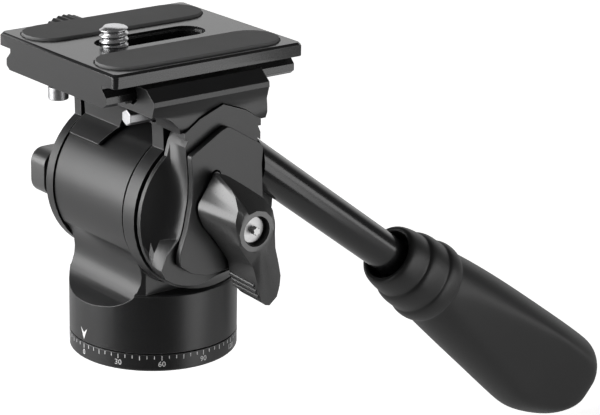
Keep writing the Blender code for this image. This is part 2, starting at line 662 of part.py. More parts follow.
def build_pan_body(black, polymer):
    base_profile = [
        (0, PAN_Z), (RING_R, PAN_Z), (RING_R, BASE_TOP - BASE_CHAMFER), (RING_R - BASE_CHAMFER, BASE_TOP),
        (0, BASE_TOP),
    ]
    body = turned("pan_body", base_profile, (0, 0, 0), Z_AXIS, black, FINE_STEPS)
    neck = block("pan neck", (-DRUM_LEFT, -DRUM_R, BASE_TOP - BASE_H / 3),
                 (DRUM_RIGHT, DRUM_R, TILT_Z - DRUM_R / 2))
    keep_inside(neck,
                rod("pan neck round", (0, 0, 0), (0, 0, TILT_Z), RING_R - BASE_CHAMFER, None, FINE_STEPS))
    drum = rod("drum", tilt_point(-DRUM_LEFT), tilt_point(DRUM_RIGHT), DRUM_R, None, FINE_STEPS)
    add(body, neck, drum)

    reach = DRUM_R + SCOOP_R - SCOOP_BITE
    scoop_z = TILT_Z - math.sqrt(reach ** 2 - SCOOP_SIDE ** 2)
    far = RING_R + OVER
    for side, name in ((-1, "front scoop"), (1, "rear scoop")):
        y = side * SCOOP_SIDE
        cut(body, rod(name, (-far, y, scoop_z), (far, y, scoop_z), SCOOP_R, None, ROUND_STEPS))

    washer_top = PAN_Z + LOWER_WASHER_T
    spindle_way = SPINDLE_R + GAP
    cut(body,
        rod("lower washer recess", (0, 0, PAN_Z - OVER), (0, 0, washer_top + GAP), LOWER_WASHER_R + GAP,
            None, ROUND_STEPS),
        rod("spindle bore", (0, 0, PAN_Z - OVER), (0, 0, SHOULDER_Z + OVER), spindle_way, None,
            ROUND_STEPS),
        rod("retainer bore", (0, 0, SHOULDER_Z), (0, 0, TILT_Z - DRUM_BORE_R / 2), RETAINER_R + GAP, None,
            ROUND_STEPS),
        rod("drum bore", tilt_point(-DRUM_LEFT - OVER), tilt_point(DRUM_RIGHT + OVER), DRUM_BORE_R, None,
            ROUND_STEPS),
        rod("drum end groove", tilt_point(DRUM_RIGHT - DRUM_STEP), tilt_point(DRUM_RIGHT + OVER),
            DRUM_R + DRUM_STEP, None,
            FINE_STEPS, hole=DRUM_R - DRUM_STEP))
    rod("lower_thrust_washer", (0, 0, PAN_Z), (0, 0, washer_top), LOWER_WASHER_R, polymer, ROUND_STEPS,
        hole=spindle_way)
    rod("upper_thrust_washer", (0, 0, SHOULDER_Z + GAP), (0, 0, SPINDLE_TOP), RETAINER_R, polymer,
        ROUND_STEPS,
        hole=spindle_way)


def build_pan_brake(polymer, steel):
    plug_left = CHEEK_LEFT_X + 2 * GAP
    plug_right = AXLE_START - GAP
    bore = PAN_STUD_R + GAP
    trunnion_profile = [
        (0, WEDGE_TIP + GAP), (bore, WEDGE_TIP + GAP), (bore, -TRUNNION_END), (TRUNNION_R, -TRUNNION_END),
        (TRUNNION_R, plug_left), (BORE_FIT_R, plug_left), (BORE_FIT_R, plug_right), (0, plug_right),
    ]
    trunnion = turned("far_trunnion", trunnion_profile, (0, 0, TILT_Z), X_AXIS, steel)
    cut(trunnion, rod("brake pin bore", (0, 0, TILT_Z - BORE_FIT_R - OVER), tilt_point(0), PIN_R + GAP))

    wedge_profile = [
        (0, WEDGE_SHOULDER - WEDGE_L), (PAN_STUD_R, WEDGE_SHOULDER - WEDGE_L), (PAN_STUD_R, WEDGE_SHOULDER),
        (WEDGE_TIP_R, WEDGE_TIP), (0, WEDGE_TIP),
    ]
    turned("brake_wedge", wedge_profile, (0, 0, TILT_Z), X_AXIS, steel, SMALL_STEPS)
    flank = PAN_STUD_R + WEDGE_SHOULDER     # radius of the wedge's cone over the pin
    pin_top = TILT_Z - flank - PIN_TIP_R - GAP
    pin_profile = [
        (0, PIN_Z), (PIN_R, PIN_Z), (PIN_R, pin_top - PIN_R + PIN_TIP_R), (PIN_TIP_R, pin_top),
        (0, pin_top),
    ]
    turned("brake_pin", pin_profile, (0, 0, 0), Z_AXIS, steel, SMALL_STEPS)
    rod("brake_shoe", (0, 0, SHOE_Z), (0, 0, SHOE_Z + SHOE_T), SHOE_R, polymer)


def build_pan_lock(black, steel):
    stud_left = -(TRUNNION_END + GAP + PAN_STUD_IN)
    stud = rod("pan_lock_stud", tilt_point(stud_left), tilt_point(WEDGE_SHOULDER - WEDGE_L - GAP),
               PAN_STUD_R, steel)
    set_origin(stud, tilt_point(0))
    boss_right = -(TRUNNION_END + GAP)
    boss_left = boss_right - PAN_KNOB_BOSS_L
    knob = rod("pan_lock_knob", tilt_point(boss_left), tilt_point(boss_right), PAN_KNOB_BOSS_R, black,
               ROUND_STEPS)
    half = PAN_WING_H / 2
    turn = PAN_WING_ROUND - PAN_WING_R
    tip = arc((turn, TILT_Z + PAN_WING_ROUND - half), PAN_WING_ROUND, 270, 180, 6)
    tip += arc((turn, TILT_Z + half - PAN_WING_ROUND), PAN_WING_ROUND, 180, 90, 6)
    wing_left = boss_left + GAP
    add(knob,
        prism("pan lock wing", [(0, TILT_Z - half)] + tip + [(0, TILT_Z + half)], "X", wing_left,
              wing_left + PAN_WING_T))
    cut(knob,
        rod("pan lock socket", tilt_point(stud_left - GAP), tilt_point(boss_right + OVER),
            PAN_STUD_R + GAP))
    set_origin(knob, tilt_point(0))


# Yoke


def clamp_profile(side):
    """Section of a clamp half from its groove round to its underside, (x, z); side is 1 or -1."""
    tip = DOVE_W / 2 + CLAMP_FIT
    low = PLATE_Z + DOVE_TIP_LOW - CLAMP_FIT / 2
    high = PLATE_Z + DOVE_TIP_HIGH + CLAMP_FIT / 2
    inner = [(tip - DOVE_FOOT_IN, FLOOR_Z), (tip, low), (tip, high), (tip + high - LIP_Z, LIP_Z)]
    height = LIP_Z - CLAMP_UNDER
    outer = [(CLAMP_OUT - inward * height, LIP_Z - down * height) for inward, down in CLAMP_SIDE_SHARES]
    return [(side * x, z) for x, z in inner + outer]


def clamp_front_cutter(name):
    """The hollow under the clamp's front edge, and all that is below it."""
    low_y = -CLAMP_FRONT - OVER
    edge_z = FLOOR_Z - CLAMP_FRONT_LIP
    curve = arc((CLAMP_SCOOP_IN - CLAMP_FRONT, edge_z - CLAMP_SCOOP_R), CLAMP_SCOOP_R, 90, CLAMP_SCOOP_END,
                8)
    under = CLAMP_UNDER - OVER
    outline = [(low_y, edge_z)] + curve + [(curve[-1][0], under), (low_y, under)]
    return prism(name, outline, "X", -CLAMP_OUT - OVER, CLAMP_OUT + OVER)


def cheek_outline():
    """A cheek: a disc round the tilt axis with a neck that flares into the clamp, (y, z)."""
    top = CLAMP_UNDER + CLAMP_BASE_H / 3
    neck_z = TILT_Z + math.sqrt(CHEEK_R ** 2 - NECK_HALF ** 2)
    angle = math.degrees(math.acos(NECK_HALF / CHEEK_R))
    side = [(NECK_HALF + out * NECK_FLARE, neck_z + up * (top - neck_z)) for out, up in NECK_SHARES]
    disc = arc((0, TILT_Z), CHEEK_R, 180 - angle, 360 + angle, 44)
    return [(-y, z) for y, z in reversed(side[1:])] + disc + side[1:]


def tongue_outline():
    """The apron over the drum's front, from the clamp down to its lip, (y, z)."""
    inner = DRUM_R + TONGUE_CLEAR
    outer = inner + TONGUE_T
    lip_angle = 90 + TONGUE_ANGLE
    root_angle = 90 + math.degrees(math.asin(NECK_HALF / outer))
    root_z = CLAMP_UNDER + CLAMP_BASE_H / 3
    under = arc((0, TILT_Z), inner, 90, lip_angle, 12)
    face = arc((0, TILT_Z), outer, lip_angle, root_angle, 6)
    return under + face + [(-NECK_HALF - NECK_FLARE, root_z), (0, root_z)]


def shield_outline(grow=0):
    """The arm's five-sided upper end, which lies in the clamp's side, (y, z)."""
    low = CLAMP_UNDER - SHIELD_ROOT - grow
    half = SHIELD_HALF + grow
    height = SHIELD_H + grow * 2
    return [(across * half, low + up * height) for across, up in SHIELD_SHARES]


def arm_places(shares):
    return scaled(shares, ARM_R, (0, TILT_Z))


def build_yoke(black, polymer):
    outline = [(-CLAMP_LEFT, CLAMP_UNDER), (-CLAMP_LEFT, FLOOR_Z)] + clamp_profile(1)
    yoke = prism("yoke", outline, "Y", -CLAMP_FRONT, CLAMP_REAR, black)
    cut(yoke, clamp_front_cutter("clamp front hollow"))
    cheek = cheek_outline()
    cheek_out = CHEEK_LEFT_X - CHEEK_LEFT_T
    spigot_end = SPIGOT_X + SPIGOT_T
    lip_right = TONGUE_W - TONGUE_LEFT
    tongue_right = lip_right + TONGUE_SLANT
    shape = tongue_outline()
    tongue = prism("tongue", shape, "X", -TONGUE_LEFT, tongue_right)
    lip_z = min(z for y, z in shape) + TONGUE_T / 2
    slant = [
        (lip_right, lip_z - TONGUE_T), (lip_right, lip_z), (tongue_right, CLAMP_UNDER),
        (tongue_right + OVER, CLAMP_UNDER), (tongue_right + OVER, lip_z - TONGUE_T),
    ]
    cut(tongue, prism("tongue slant", slant, "Y", -DRUM_R - TONGUE_T - OVER, 0))
    add(yoke,
        prism("far cheek", cheek, "X", cheek_out, CHEEK_LEFT_X),
        prism("near cheek", cheek, "X", CHEEK_RIGHT_X, SPIGOT_X),
        rod("arm spigot", tilt_point(SPIGOT_X - CHEEK_RIGHT_T / 2), tilt_point(spigot_end), SPIGOT_R, None,
            ROUND_STEPS),
        tongue)

    screw_y = CLAMP_SCREW_Y
    button_z = FLOOR_Z - BUTTON_DROP
    bush_r = TRUNNION_R + GAP + CHEEK_BUSH_T
    cut(yoke,
        prism("shield recess", shield_outline(GAP), "X", ARM_FACE - SHIELD_T - GAP, CLAMP_OUT + OVER),
        rod("near cheek bore", tilt_point(DRUM_RIGHT), tilt_point(ARM_X + OVER), SLEEVE_R + GAP, None,
            ROUND_STEPS),
        rod("far cheek bore", tilt_point(cheek_out - OVER), tilt_point(CHEEK_LEFT_X + OVER), bush_r + GAP,
            None, ROUND_STEPS),
        rod("clamp screw bore", (-CLAMP_LEFT - OVER, screw_y, CLAMP_SCREW_Z),
            (GAP - CLAMP_SCREW_END, screw_y, CLAMP_SCREW_Z),
            CLAMP_SCREW_R + GAP),
        rod("button bore", (BUTTON_X, -CLAMP_FRONT - OVER, button_z), (BUTTON_X, BUTTON_HOLE_END, button_z),
            BUTTON_R + GAP))
    for side in (-1, 1):
        y = screw_y + side * GUIDE_SPREAD
        cut(yoke,
            rod(f"guide bore {side}", (-CLAMP_LEFT - OVER, y, GUIDE_Z), (GAP - GUIDE_END, y, GUIDE_Z),
                GUIDE_R + GAP))
    for number, (y, z) in enumerate(arm_places(ARM_SCREW_SHARES), 1):
        cut(yoke,
            rod(f"arm screw tap {number}", (DRUM_RIGHT, y, z), (ARM_X + OVER, y, z), ARM_SCREW_R + GAP))
    rod("far_cheek_bush", tilt_point(cheek_out), tilt_point(CHEEK_LEFT_X), bush_r, polymer, ROUND_STEPS,
        hole=TRUNNION_R + GAP)


# Arm housing and its cover


def build_arm(black, steel):
    count = 48
    middle = (0, TILT_Z)
    face = polar(rounded(arm_places(ARM_FACE_SHARES), ARM_RIM), middle, count)
    rim_end = ARM_X + ARM_RIM
    inner = [max(ARM_R, reach) if index < count / 2 else ARM_R for index, reach in enumerate(face)]
    rings = [ring_at(ARM_X, inner, middle)]
    for share in ARM_STATION_SHARES:
        blend = (1 - share) ** 2
        reaches = [far + (near - far) * blend for near, far in zip(inner, face)]
        rings.append(ring_at(rim_end + (ARM_FACE - rim_end) * share, reaches, middle))
    housing = loft("arm_housing", rings, black)
    top = CLAMP_UNDER - GAP
    cut(housing, block("arm top trim", (ARM_X - OVER, -ARM_R, top), (ARM_FACE + OVER, ARM_R, top + ARM_R)))
    add(housing, prism("shield", shield_outline(), "X", ARM_FACE - SHIELD_T, ARM_FACE))

    bore = rod_solid("stub bore", ROD_SHOULDER - STUB_L - GAP, ROD_SHOULDER + ROD_R, STUB_R + GAP)
    flat = ARM_FACE - STUB_FLAT + GAP
    cut(bore, block("stub bore flat", (flat, -ARM_R, TILT_Z), (flat + ROD_R, ARM_R, TILT_Z + 2 * ARM_R)))
    seat = rod_solid("rod seat", ROD_SHOULDER - 2 * ROD_R, ROD_SHOULDER + 5 * ROD_R, ROD_R + GAP, None,
                     ROUND_STEPS)
    front = (ARM_X - 2 * OVER, -ARM_R, TILT_Z)
    cut(seat, block("rod seat trim", front, (ARM_FACE + 2 * OVER, ROD_START - GAP, TILT_Z + 2 * ARM_R)))
    cut(housing,
        rod("sleeve bore", tilt_point(ARM_X - OVER), tilt_point(ARM_FACE + OVER), SLEEVE_R + GAP, None,
            ROUND_STEPS),
        bore, seat)

    pin = rod_point(ROD_SHOULDER - ROD_PIN_BACK)
    pin_low = ARM_X + GAP * 2
    cut(housing,
        rod("rod pin bore", (pin_low - GAP, pin.y, pin.z), (ARM_FACE + OVER, pin.y, pin.z),
            ROD_PIN_R + GAP))
    rod("rod_pin", (pin_low, pin.y, pin.z), (ARM_FACE - GAP, pin.y, pin.z), ROD_PIN_R, steel)

    outline = rounded(arm_places(COVER_SHARES), COVER_CORNER)
    cover = prism("arm_cover", outline, "X", COVER_X, COVER_TOP, black)
    washer_way = THRUST_R + GAP
    cut(cover,
        rod("thrust washer hole", tilt_point(COVER_X - OVER), tilt_point(COVER_TOP + OVER), washer_way,
            None, ROUND_STEPS))

    head_x = ARM_FACE - GAP
    seat_x = head_x - ARM_SCREW_HEAD_H
    tip_x = CHEEK_RIGHT_X + GAP
    profile = [
        (0, tip_x), (ARM_SCREW_R, tip_x), (ARM_SCREW_R, seat_x), (ARM_SCREW_HEAD_R, seat_x),
        (ARM_SCREW_HEAD_R, head_x),
        (0, head_x),
    ]
    head_r = ARM_SCREW_HEAD_R + GAP
    for number, (y, z) in enumerate(arm_places(ARM_SCREW_SHARES), 1):
        cut(housing,
            rod(f"arm screw well {number}", (seat_x - GAP, y, z), (ARM_FACE + OVER, y, z), head_r),
            rod(f"arm screw way {number}", (ARM_X - OVER, y, z), (seat_x, y, z), ARM_SCREW_R + GAP))
        turned(f"arm_screw_{number}", profile, (0, y, z), X_AXIS, steel, SMALL_STEPS)

    low_x = ARM_FACE - COVER_PIN_L
    for number, (y, z) in enumerate(arm_places(COVER_SCREW_SHARES), 1):
        hole = rod(f"cover screw way {number}", (low_x - GAP, y, z), (COVER_TOP + OVER, y, z),
                   COVER_PIN_R + GAP)
        cut(cover, hole)
        cut(housing, hole)
        rod(f"cover_screw_{number}", (low_x, y, z), (COVER_TOP + COVER_PIN_PROUD, y, z), COVER_PIN_R, steel)


# Handle


def rod_point(along, across=0):
    return ROD_ZERO + ROD_WAY * along + ROD_UP * across


def rod_solid(name, start, end, radius, material=None, steps=SMALL_STEPS):
    return rod(name, rod_point(start), rod_point(end), radius, material, steps)


def grip_ring(along, up, down, side, facet, count=28):
    ring = []
    for index in range(count):
        angle = math.tau * index / count
        across = math.sin(angle) * (up if math.sin(angle) > 0 else down)
        point = rod_point(along, across)
        ring.append((point.x + min(math.cos(angle) * side, facet), point.y, point.z))
    return ring


def build_handle(black, rubber):
    handle = rod_solid("handle_rod", ROD_SHOULDER - 2 * ROD_R, GRIP_START + GRIP_BORE_L - GAP, ROD_R, black,
                       ROUND_STEPS)
    near = (ROD_X - 2 * ROD_R, -RING_R, TILT_Z)
    cut(handle, block("rod end trim", near, (ROD_X + 2 * ROD_R, ROD_START, TILT_Z + 2 * ARM_R)))
    stub = rod_solid("rod stub", ROD_SHOULDER - STUB_L, ROD_SHOULDER + 2 * ROD_R, STUB_R)
    flat = ARM_FACE - STUB_FLAT
    cut(stub, block("stub flat", (flat, -ARM_R, TILT_Z - ARM_R), (flat + ROD_R, ARM_R, TILT_Z + 2 * ARM_R)))
    add(handle, stub)
    pin = rod_point(ROD_SHOULDER - ROD_PIN_BACK)
    cut(handle, rod("stub pin hole", (ARM_X, pin.y, pin.z), (ARM_FACE, pin.y, pin.z), ROD_PIN_R + GAP))

    rings = []
    for share, *sizes in GRIP_STATION_SHARES:
        rings.append(grip_ring(GRIP_START + GRIP_L * share, *[size * GRIP_MOUTH_R for size in sizes]))
    grip = loft("grip", rings, rubber)
    cut(grip,
        rod_solid("grip bore", GRIP_START - OVER, GRIP_START + GRIP_BORE_L, ROD_R + GAP, None, ROUND_STEPS),
        rod_solid("grip mouth", GRIP_START - OVER, GRIP_START + GRIP_WELL, GRIP_WELL_R, None, ROUND_STEPS))


# Tilt axle, its sleeve and the tilt lock


def build_tilt_axle(black, polymer, steel):
    flange_end = AXLE_START + AXLE_FLANGE_T
    sleeve_end = ARM_FACE - 2 * GAP
    wall_end = KNOB_FACE - KNOB_WELL - KNOB_WEB - GAP
    axle_end = wall_end - INSERT_WALL - GAP
    axle_profile = [
        (0, AXLE_START), (BORE_FIT_R, AXLE_START), (BORE_FIT_R, flange_end), (AXLE_R, flange_end),
        (AXLE_R, sleeve_end), (AXLE_THREAD_R, sleeve_end), (AXLE_THREAD_R, axle_end), (0, axle_end),
    ]
    turned("tilt_axle", axle_profile, (0, 0, TILT_Z), X_AXIS, steel)
    sleeve = rod("tilt_sleeve", tilt_point(flange_end + GAP), tilt_point(sleeve_end), SLEEVE_R, black,
                 ROUND_STEPS,
                 hole=AXLE_R + GAP)
    set_origin(sleeve, tilt_point(0))
    x = flange_end + GAP
    for index in range(DISC_COUNT):
        if index % 2 == 0:
            name, inner, outer = f"fixed_drag_disc_{index // 2 + 1}", SLEEVE_R + 2 * GAP, BORE_FIT_R
        else:
            name, inner, outer = f"turning_drag_disc_{index // 2 + 1}", SLEEVE_R + GAP, BORE_FIT_R - 2 * GAP
        disc = rod(name, tilt_point(x), tilt_point(x + DISC_T), outer, steel, ROUND_STEPS, hole=inner)
        set_origin(disc, tilt_point(0))
        x += DISC_T + GAP
    rod("drum_bearing", tilt_point(x), tilt_point(DRUM_RIGHT), BORE_FIT_R, polymer, ROUND_STEPS,
        hole=SLEEVE_R + GAP)
    rod("knob_thrust_washer", tilt_point(sleeve_end + GAP), tilt_point(KNOB_BACK - GAP), THRUST_R, polymer,
        ROUND_STEPS,
        hole=AXLE_THREAD_R + GAP)


def build_tilt_lock(black, steel, bright):
    wall_end = KNOB_FACE - KNOB_WELL - KNOB_WEB - GAP
    wall = wall_end - INSERT_WALL
    hole_r = KNOB_SCREW_R + GAP
    bore = AXLE_THREAD_R + GAP
    insert_profile = [
        (bore, KNOB_BACK), (INSERT_R, KNOB_BACK), (INSERT_R, wall_end), (hole_r, wall_end), (hole_r, wall),
        (bore, wall),
    ]
    insert = turned("knob_insert", insert_profile, (0, 0, TILT_Z), X_AXIS, steel)

    head_low = KNOB_FACE - KNOB_WELL + GAP
    head_high = head_low + KNOB_SCREW_HEAD_H
    screw_profile = [
        (0, wall + GAP), (KNOB_SCREW_R, wall + GAP), (KNOB_SCREW_R, head_low),
        (KNOB_SCREW_HEAD_R, head_low),
        (KNOB_SCREW_HEAD_R, head_high), (0, head_high),
    ]
    screw = turned("knob_screw", screw_profile, (0, 0, TILT_Z), X_AXIS, bright, SMALL_STEPS)
    socket_x = (head_low + head_high) / 2
    cut(screw,
        rod("knob screw socket", tilt_point(socket_x), tilt_point(head_high + OVER), KNOB_SCREW_HEAD_R / 3,
            None, 6))

    back = rounded(scaled(KNOB_SHARES, KNOB_R, (0, TILT_Z)), KNOB_ROUND)
    back = [(KNOB_BACK, y, z) for y, z in back]
    ridge = [(KNOB_BACK + KNOB_DEPTH * deep, y * KNOB_R, TILT_Z + z * KNOB_R) for y, z,
             deep in KNOB_RIDGE_SHARES]
    boss = [(KNOB_FACE, y, z) for y, z in arc((0, TILT_Z), KNOB_BOSS_R, 0, 330, 11)]
    angles = knob_angles()
    back, ridge, boss = [fan_points(outline, angles) for outline in (back, ridge, boss)]
    rings = [back] + [between(back, ridge, share) for share in KNOB_WALL_SHARES]
    rings += [ridge] + [between(ridge, boss, share) for share in KNOB_TOP_SHARES]
    knob = loft("tilt_lock_knob", rings, black)
    cut(knob,
        rod("insert well", tilt_point(KNOB_BACK - OVER), tilt_point(wall_end + GAP), INSERT_R + GAP, None,
            ROUND_STEPS),
        rod("knob screw way", tilt_point(wall_end), tilt_point(KNOB_FACE + OVER), hole_r),
        rod("knob screw well", tilt_point(KNOB_FACE - KNOB_WELL), tilt_point(KNOB_FACE + OVER), KNOB_WELL_R,
            None, ROUND_STEPS))
    for item in (insert, screw, knob):
        set_origin(item, tilt_point(0))


# Clamp's sliding jaw, its knob and the safety button


def build_jaw(black, steel):
    outline = [(JAW_X, CLAMP_UNDER), (JAW_X, FLOOR_Z)] + clamp_profile(-1)
    jaw = prism("sliding_jaw", outline, "Y", -CLAMP_FRONT, CLAMP_REAR, black)
    cut(jaw, clamp_front_cutter("jaw front hollow"),
        rod("jaw screw way", (JAW_X + OVER, CLAMP_SCREW_Y, CLAMP_SCREW_Z),
            (-CLAMP_OUT - OVER, CLAMP_SCREW_Y, CLAMP_SCREW_Z),
            CLAMP_SCREW_R + GAP))
    guide_left = JAW_X - GUIDE_REACH
    pocket_left = JAW_X - SPRING_POCKET
    for side, name in ((-1, "front"), (1, "rear")):
        y = CLAMP_SCREW_Y + side * GUIDE_SPREAD
        cut(jaw,
            rod(f"jaw {name} guide way", (JAW_X + OVER, y, GUIDE_Z), (guide_left - GAP, y, GUIDE_Z),
                GUIDE_R + GAP),
            rod(f"jaw {name} spring pocket", (JAW_X + OVER, y, GUIDE_Z), (pocket_left, y, GUIDE_Z),
                SPRING_R + SPRING_WIRE + GAP))
        rod(f"{name}_guide_pin", (guide_left, y, GUIDE_Z), (-GUIDE_END, y, GUIDE_Z), GUIDE_R, steel)
        coil(f"{name}_jaw_spring", (pocket_left + GAP, y, GUIDE_Z), (JAW_X - GAP, y, GUIDE_Z), SPRING_R,
             SPRING_WIRE,
             SPRING_TURNS, steel)


def build_clamp_knob(black, steel):
    centre = (0, CLAMP_SCREW_Y, CLAMP_SCREW_Z)
    knob_right = -CLAMP_OUT - GAP
    knob_left = knob_right - CLAMP_KNOB_L
    socket_left = knob_left + CLAMP_KNOB_WALL
    screw = rod("clamp_screw", (socket_left + GAP, *centre[1:]), (-CLAMP_SCREW_END, *centre[1:]),
                CLAMP_SCREW_R, steel)
    outline = []
    for index in range(2 * CLAMP_KNOB_TEETH):
        angle = math.pi * index / CLAMP_KNOB_TEETH
        radius = CLAMP_KNOB_R - CLAMP_KNOB_TOOTH * (index % 2)
        outline.append((centre[1] + radius * math.cos(angle), centre[2] + radius * math.sin(angle)))
    knob = prism("clamp_knob", outline, "X", knob_left, knob_right, black)
    cut(knob,
        rod("clamp knob socket", (socket_left, *centre[1:]), (knob_right + OVER, *centre[1:]),
            CLAMP_SCREW_R + GAP))
    set_origin(screw, centre)
    set_origin(knob, centre)


def build_button(steel, bright):
    z = FLOOR_Z - BUTTON_DROP
    rear = BUTTON_L - BUTTON_FRONT
    rod("safety_button", (BUTTON_X, -BUTTON_FRONT, z), (BUTTON_X, rear, z), BUTTON_R, bright, 6)
    coil("button_spring", (BUTTON_X, rear + GAP, z), (BUTTON_X, rear + BUTTON_SPRING_L, z),
         BUTTON_R - 2 * SPRING_WIRE,
         SPRING_WIRE, BUTTON_SPRING_TURNS, steel)


# Quick-release plate


def stadium(x, y, half_width, half_length):
    """An outline with round ends and its length along Y, (x, y)."""
    straight = half_length - half_width
    return arc((x, y + straight), half_width, 0, 180, 8) + arc((x, y - straight), half_width, 180, 360, 8)


def build_plate(black, rubber, bright):
    wide = DOVE_W / 2 + PLATE_RIM
    neck = NECK_W / 2
    tip = DOVE_W / 2
    flange_z = PLATE_TOP - FLANGE_T
    high = PLATE_Z + DOVE_TIP_HIGH
    half = [
        (tip - DOVE_FOOT_IN, PLATE_Z), (tip, PLATE_Z + DOVE_TIP_LOW), (tip, high),
        (neck, high + tip - neck),
        (neck, flange_z), (wide, flange_z), (wide, PLATE_TOP - GAP), (wide - GAP, PLATE_TOP),
    ]
    front = PLATE_Y - PLATE_L / 2
    rear = PLATE_Y + PLATE_L / 2
    plate = prism("release_plate", half + [(-x, z) for x, z in reversed(half)], "Y", front, rear, black)
    corners = rounded([(-wide, front), (wide, front), (wide, rear), (-wide, rear)], PLATE_CORNER)
    keep_inside(plate, prism("plate corners", corners, "Z", PLATE_Z - OVER, PLATE_TOP + OVER))

    slot_y = (CAMERA_SCREW_Y + SLOT_REAR) / 2
    travel = (SLOT_REAR - CAMERA_SCREW_Y) / 2
    above = PLATE_TOP + OVER
    below = PLATE_Z - OVER
    pocket_top = PLATE_TOP - POCKET_ROOF
    slot_half = CAMERA_SCREW_R + GAP
    step_half = slot_half + SLOT_STEP
    pocket_half = CAMERA_HEAD_R + 2 * GAP
    cut(plate,
        prism("screw slot", stadium(0, slot_y, slot_half, travel + slot_half), "Z", below, above),
        prism("slot step", stadium(0, slot_y, step_half, travel + step_half), "Z", PLATE_TOP - SLOT_STEP_H,
              above),
        prism("head pocket", stadium(0, slot_y, pocket_half, travel + pocket_half), "Z", below, pocket_top))

    seat_z = PLATE_TOP - STRIP_SEAT
    for side, name in ((-1, "left"), (1, "right")):
        x = side * STRIP_X
        seat = stadium(x, PLATE_Y, STRIP_W / 2 + GAP, STRIP_L / 2 + GAP)
        cut(plate, prism(f"{name} strip seat", seat, "Z", seat_z, above))
        strip = stadium(x, PLATE_Y, STRIP_W / 2, STRIP_L / 2)
        prism(f"{name}_rubber_strip", strip, "Z", seat_z + GAP, seat_z + GAP + STRIP_T, rubber)

    shank_top = PLATE_Z + STOP_SHANK_L
    profile = [
        (0, PLATE_Z - STOP_H), (STOP_R, PLATE_Z - STOP_H), (STOP_R, PLATE_Z - GAP),
        (STOP_SHANK_R, PLATE_Z - GAP),
        (STOP_SHANK_R, shank_top), (0, shank_top),
    ]
    for name, x, y in (("front", -STOP_X, front + STOP_IN), ("rear", STOP_X, rear - STOP_IN)):
        cut(plate, rod(f"{name} stop hole", (x, y, below), (x, y, shank_top + GAP), STOP_SHANK_R + GAP))
        turned(f"{name}_stop_screw", profile, (x, y, 0), Z_AXIS, bright, SMALL_STEPS)


def build_camera_screw(polymer, bright):
    pocket_top = PLATE_TOP - POCKET_ROOF
    washer_low = pocket_top - GAP - SCREW_WASHER_T
    rod("screw_washer", (0, CAMERA_SCREW_Y, washer_low), (0, CAMERA_SCREW_Y, pocket_top - GAP),
        CAMERA_HEAD_R, polymer,
        ROUND_STEPS, hole=CAMERA_SCREW_R + GAP)
    head_high = washer_low - GAP
    head_low = head_high - CAMERA_HEAD_H
    top = PLATE_TOP + CAMERA_SCREW_PROUD
    chamfer = CAMERA_SCREW_R / 6
    profile = [
        (0, head_low), (CAMERA_HEAD_R, head_low), (CAMERA_HEAD_R, head_high), (CAMERA_SCREW_R, head_high),
        (CAMERA_SCREW_R, top - chamfer), (CAMERA_SCREW_R - chamfer, top), (0, top),
    ]
    screw = turned("camera_screw", profile, (0, CAMERA_SCREW_Y, 0), Z_AXIS, bright)
    slot_half = CAMERA_SCREW_R / 4
    far = CAMERA_HEAD_R + OVER
    cut(screw, block("coin slot", (-far, CAMERA_SCREW_Y - slot_half, head_low - OVER),
                     (far, CAMERA_SCREW_Y + slot_half, head_low + CAMERA_HEAD_H / 2)))
    set_origin(screw, (0, CAMERA_SCREW_Y, 0))


def main():
    clear_scene()
    black = make_material("black anodised aluminium", (0.035, 0.035, 0.037), 0.9, 0.42)
    black_plastic = make_material("black moulded plastic", (0.03, 0.03, 0.03), 0.0, 0.5)
    rubber = make_material("black rubber", (0.04, 0.04, 0.04), 0.0, 0.8)
    steel = make_material("steel", (0.5, 0.5, 0.5), 1.0, 0.35)
    bright = make_material("bright steel", (0.75, 0.75, 0.75), 1.0, 0.2)
    brass = make_material("brass", (0.6, 0.45, 0.2), 1.0, 0.35)
    polymer = make_material("bearing polymer", (0.75, 0.74, 0.7), 0.0, 0.5)

    build_foot(black, steel, brass)
    build_pan_body(black, polymer)
    build_pan_brake(polymer, steel)
    build_pan_lock(black_plastic, steel)
    build_yoke(black, polymer)
    build_arm(black, steel)
    build_handle(black, rubber)
    build_tilt_axle(black, polymer, steel)
    build_tilt_lock(black_plastic, steel, bright)
    build_jaw(black, steel)
    build_clamp_knob(black, steel)
    build_button(steel, bright)
    build_plate(black, rubber, bright)
    build_camera_screw(polymer, bright)


main()
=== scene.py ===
import json
import math

import bmesh
import bpy
from mathutils import Matrix, Vector
from mathutils.bvhtree import BVHTree

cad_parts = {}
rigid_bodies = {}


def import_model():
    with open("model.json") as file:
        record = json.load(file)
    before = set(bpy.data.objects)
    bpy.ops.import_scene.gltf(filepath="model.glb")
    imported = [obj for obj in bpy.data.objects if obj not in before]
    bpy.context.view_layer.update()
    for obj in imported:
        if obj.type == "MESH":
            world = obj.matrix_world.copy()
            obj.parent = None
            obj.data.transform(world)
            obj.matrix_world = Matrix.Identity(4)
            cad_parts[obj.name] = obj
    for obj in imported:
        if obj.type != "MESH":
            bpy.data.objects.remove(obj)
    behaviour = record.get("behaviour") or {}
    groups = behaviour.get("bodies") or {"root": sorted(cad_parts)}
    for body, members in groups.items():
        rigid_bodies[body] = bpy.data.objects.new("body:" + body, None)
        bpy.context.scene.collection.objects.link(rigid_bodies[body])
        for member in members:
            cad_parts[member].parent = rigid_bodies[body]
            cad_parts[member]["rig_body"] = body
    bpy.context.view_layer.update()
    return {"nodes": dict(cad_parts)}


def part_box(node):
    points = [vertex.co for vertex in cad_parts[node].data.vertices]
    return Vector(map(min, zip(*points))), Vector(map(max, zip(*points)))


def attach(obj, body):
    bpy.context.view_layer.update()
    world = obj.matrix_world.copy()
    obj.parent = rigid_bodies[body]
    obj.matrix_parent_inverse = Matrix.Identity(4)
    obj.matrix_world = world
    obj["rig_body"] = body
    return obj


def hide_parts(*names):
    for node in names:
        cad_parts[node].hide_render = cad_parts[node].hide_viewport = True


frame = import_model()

mm = 0.001
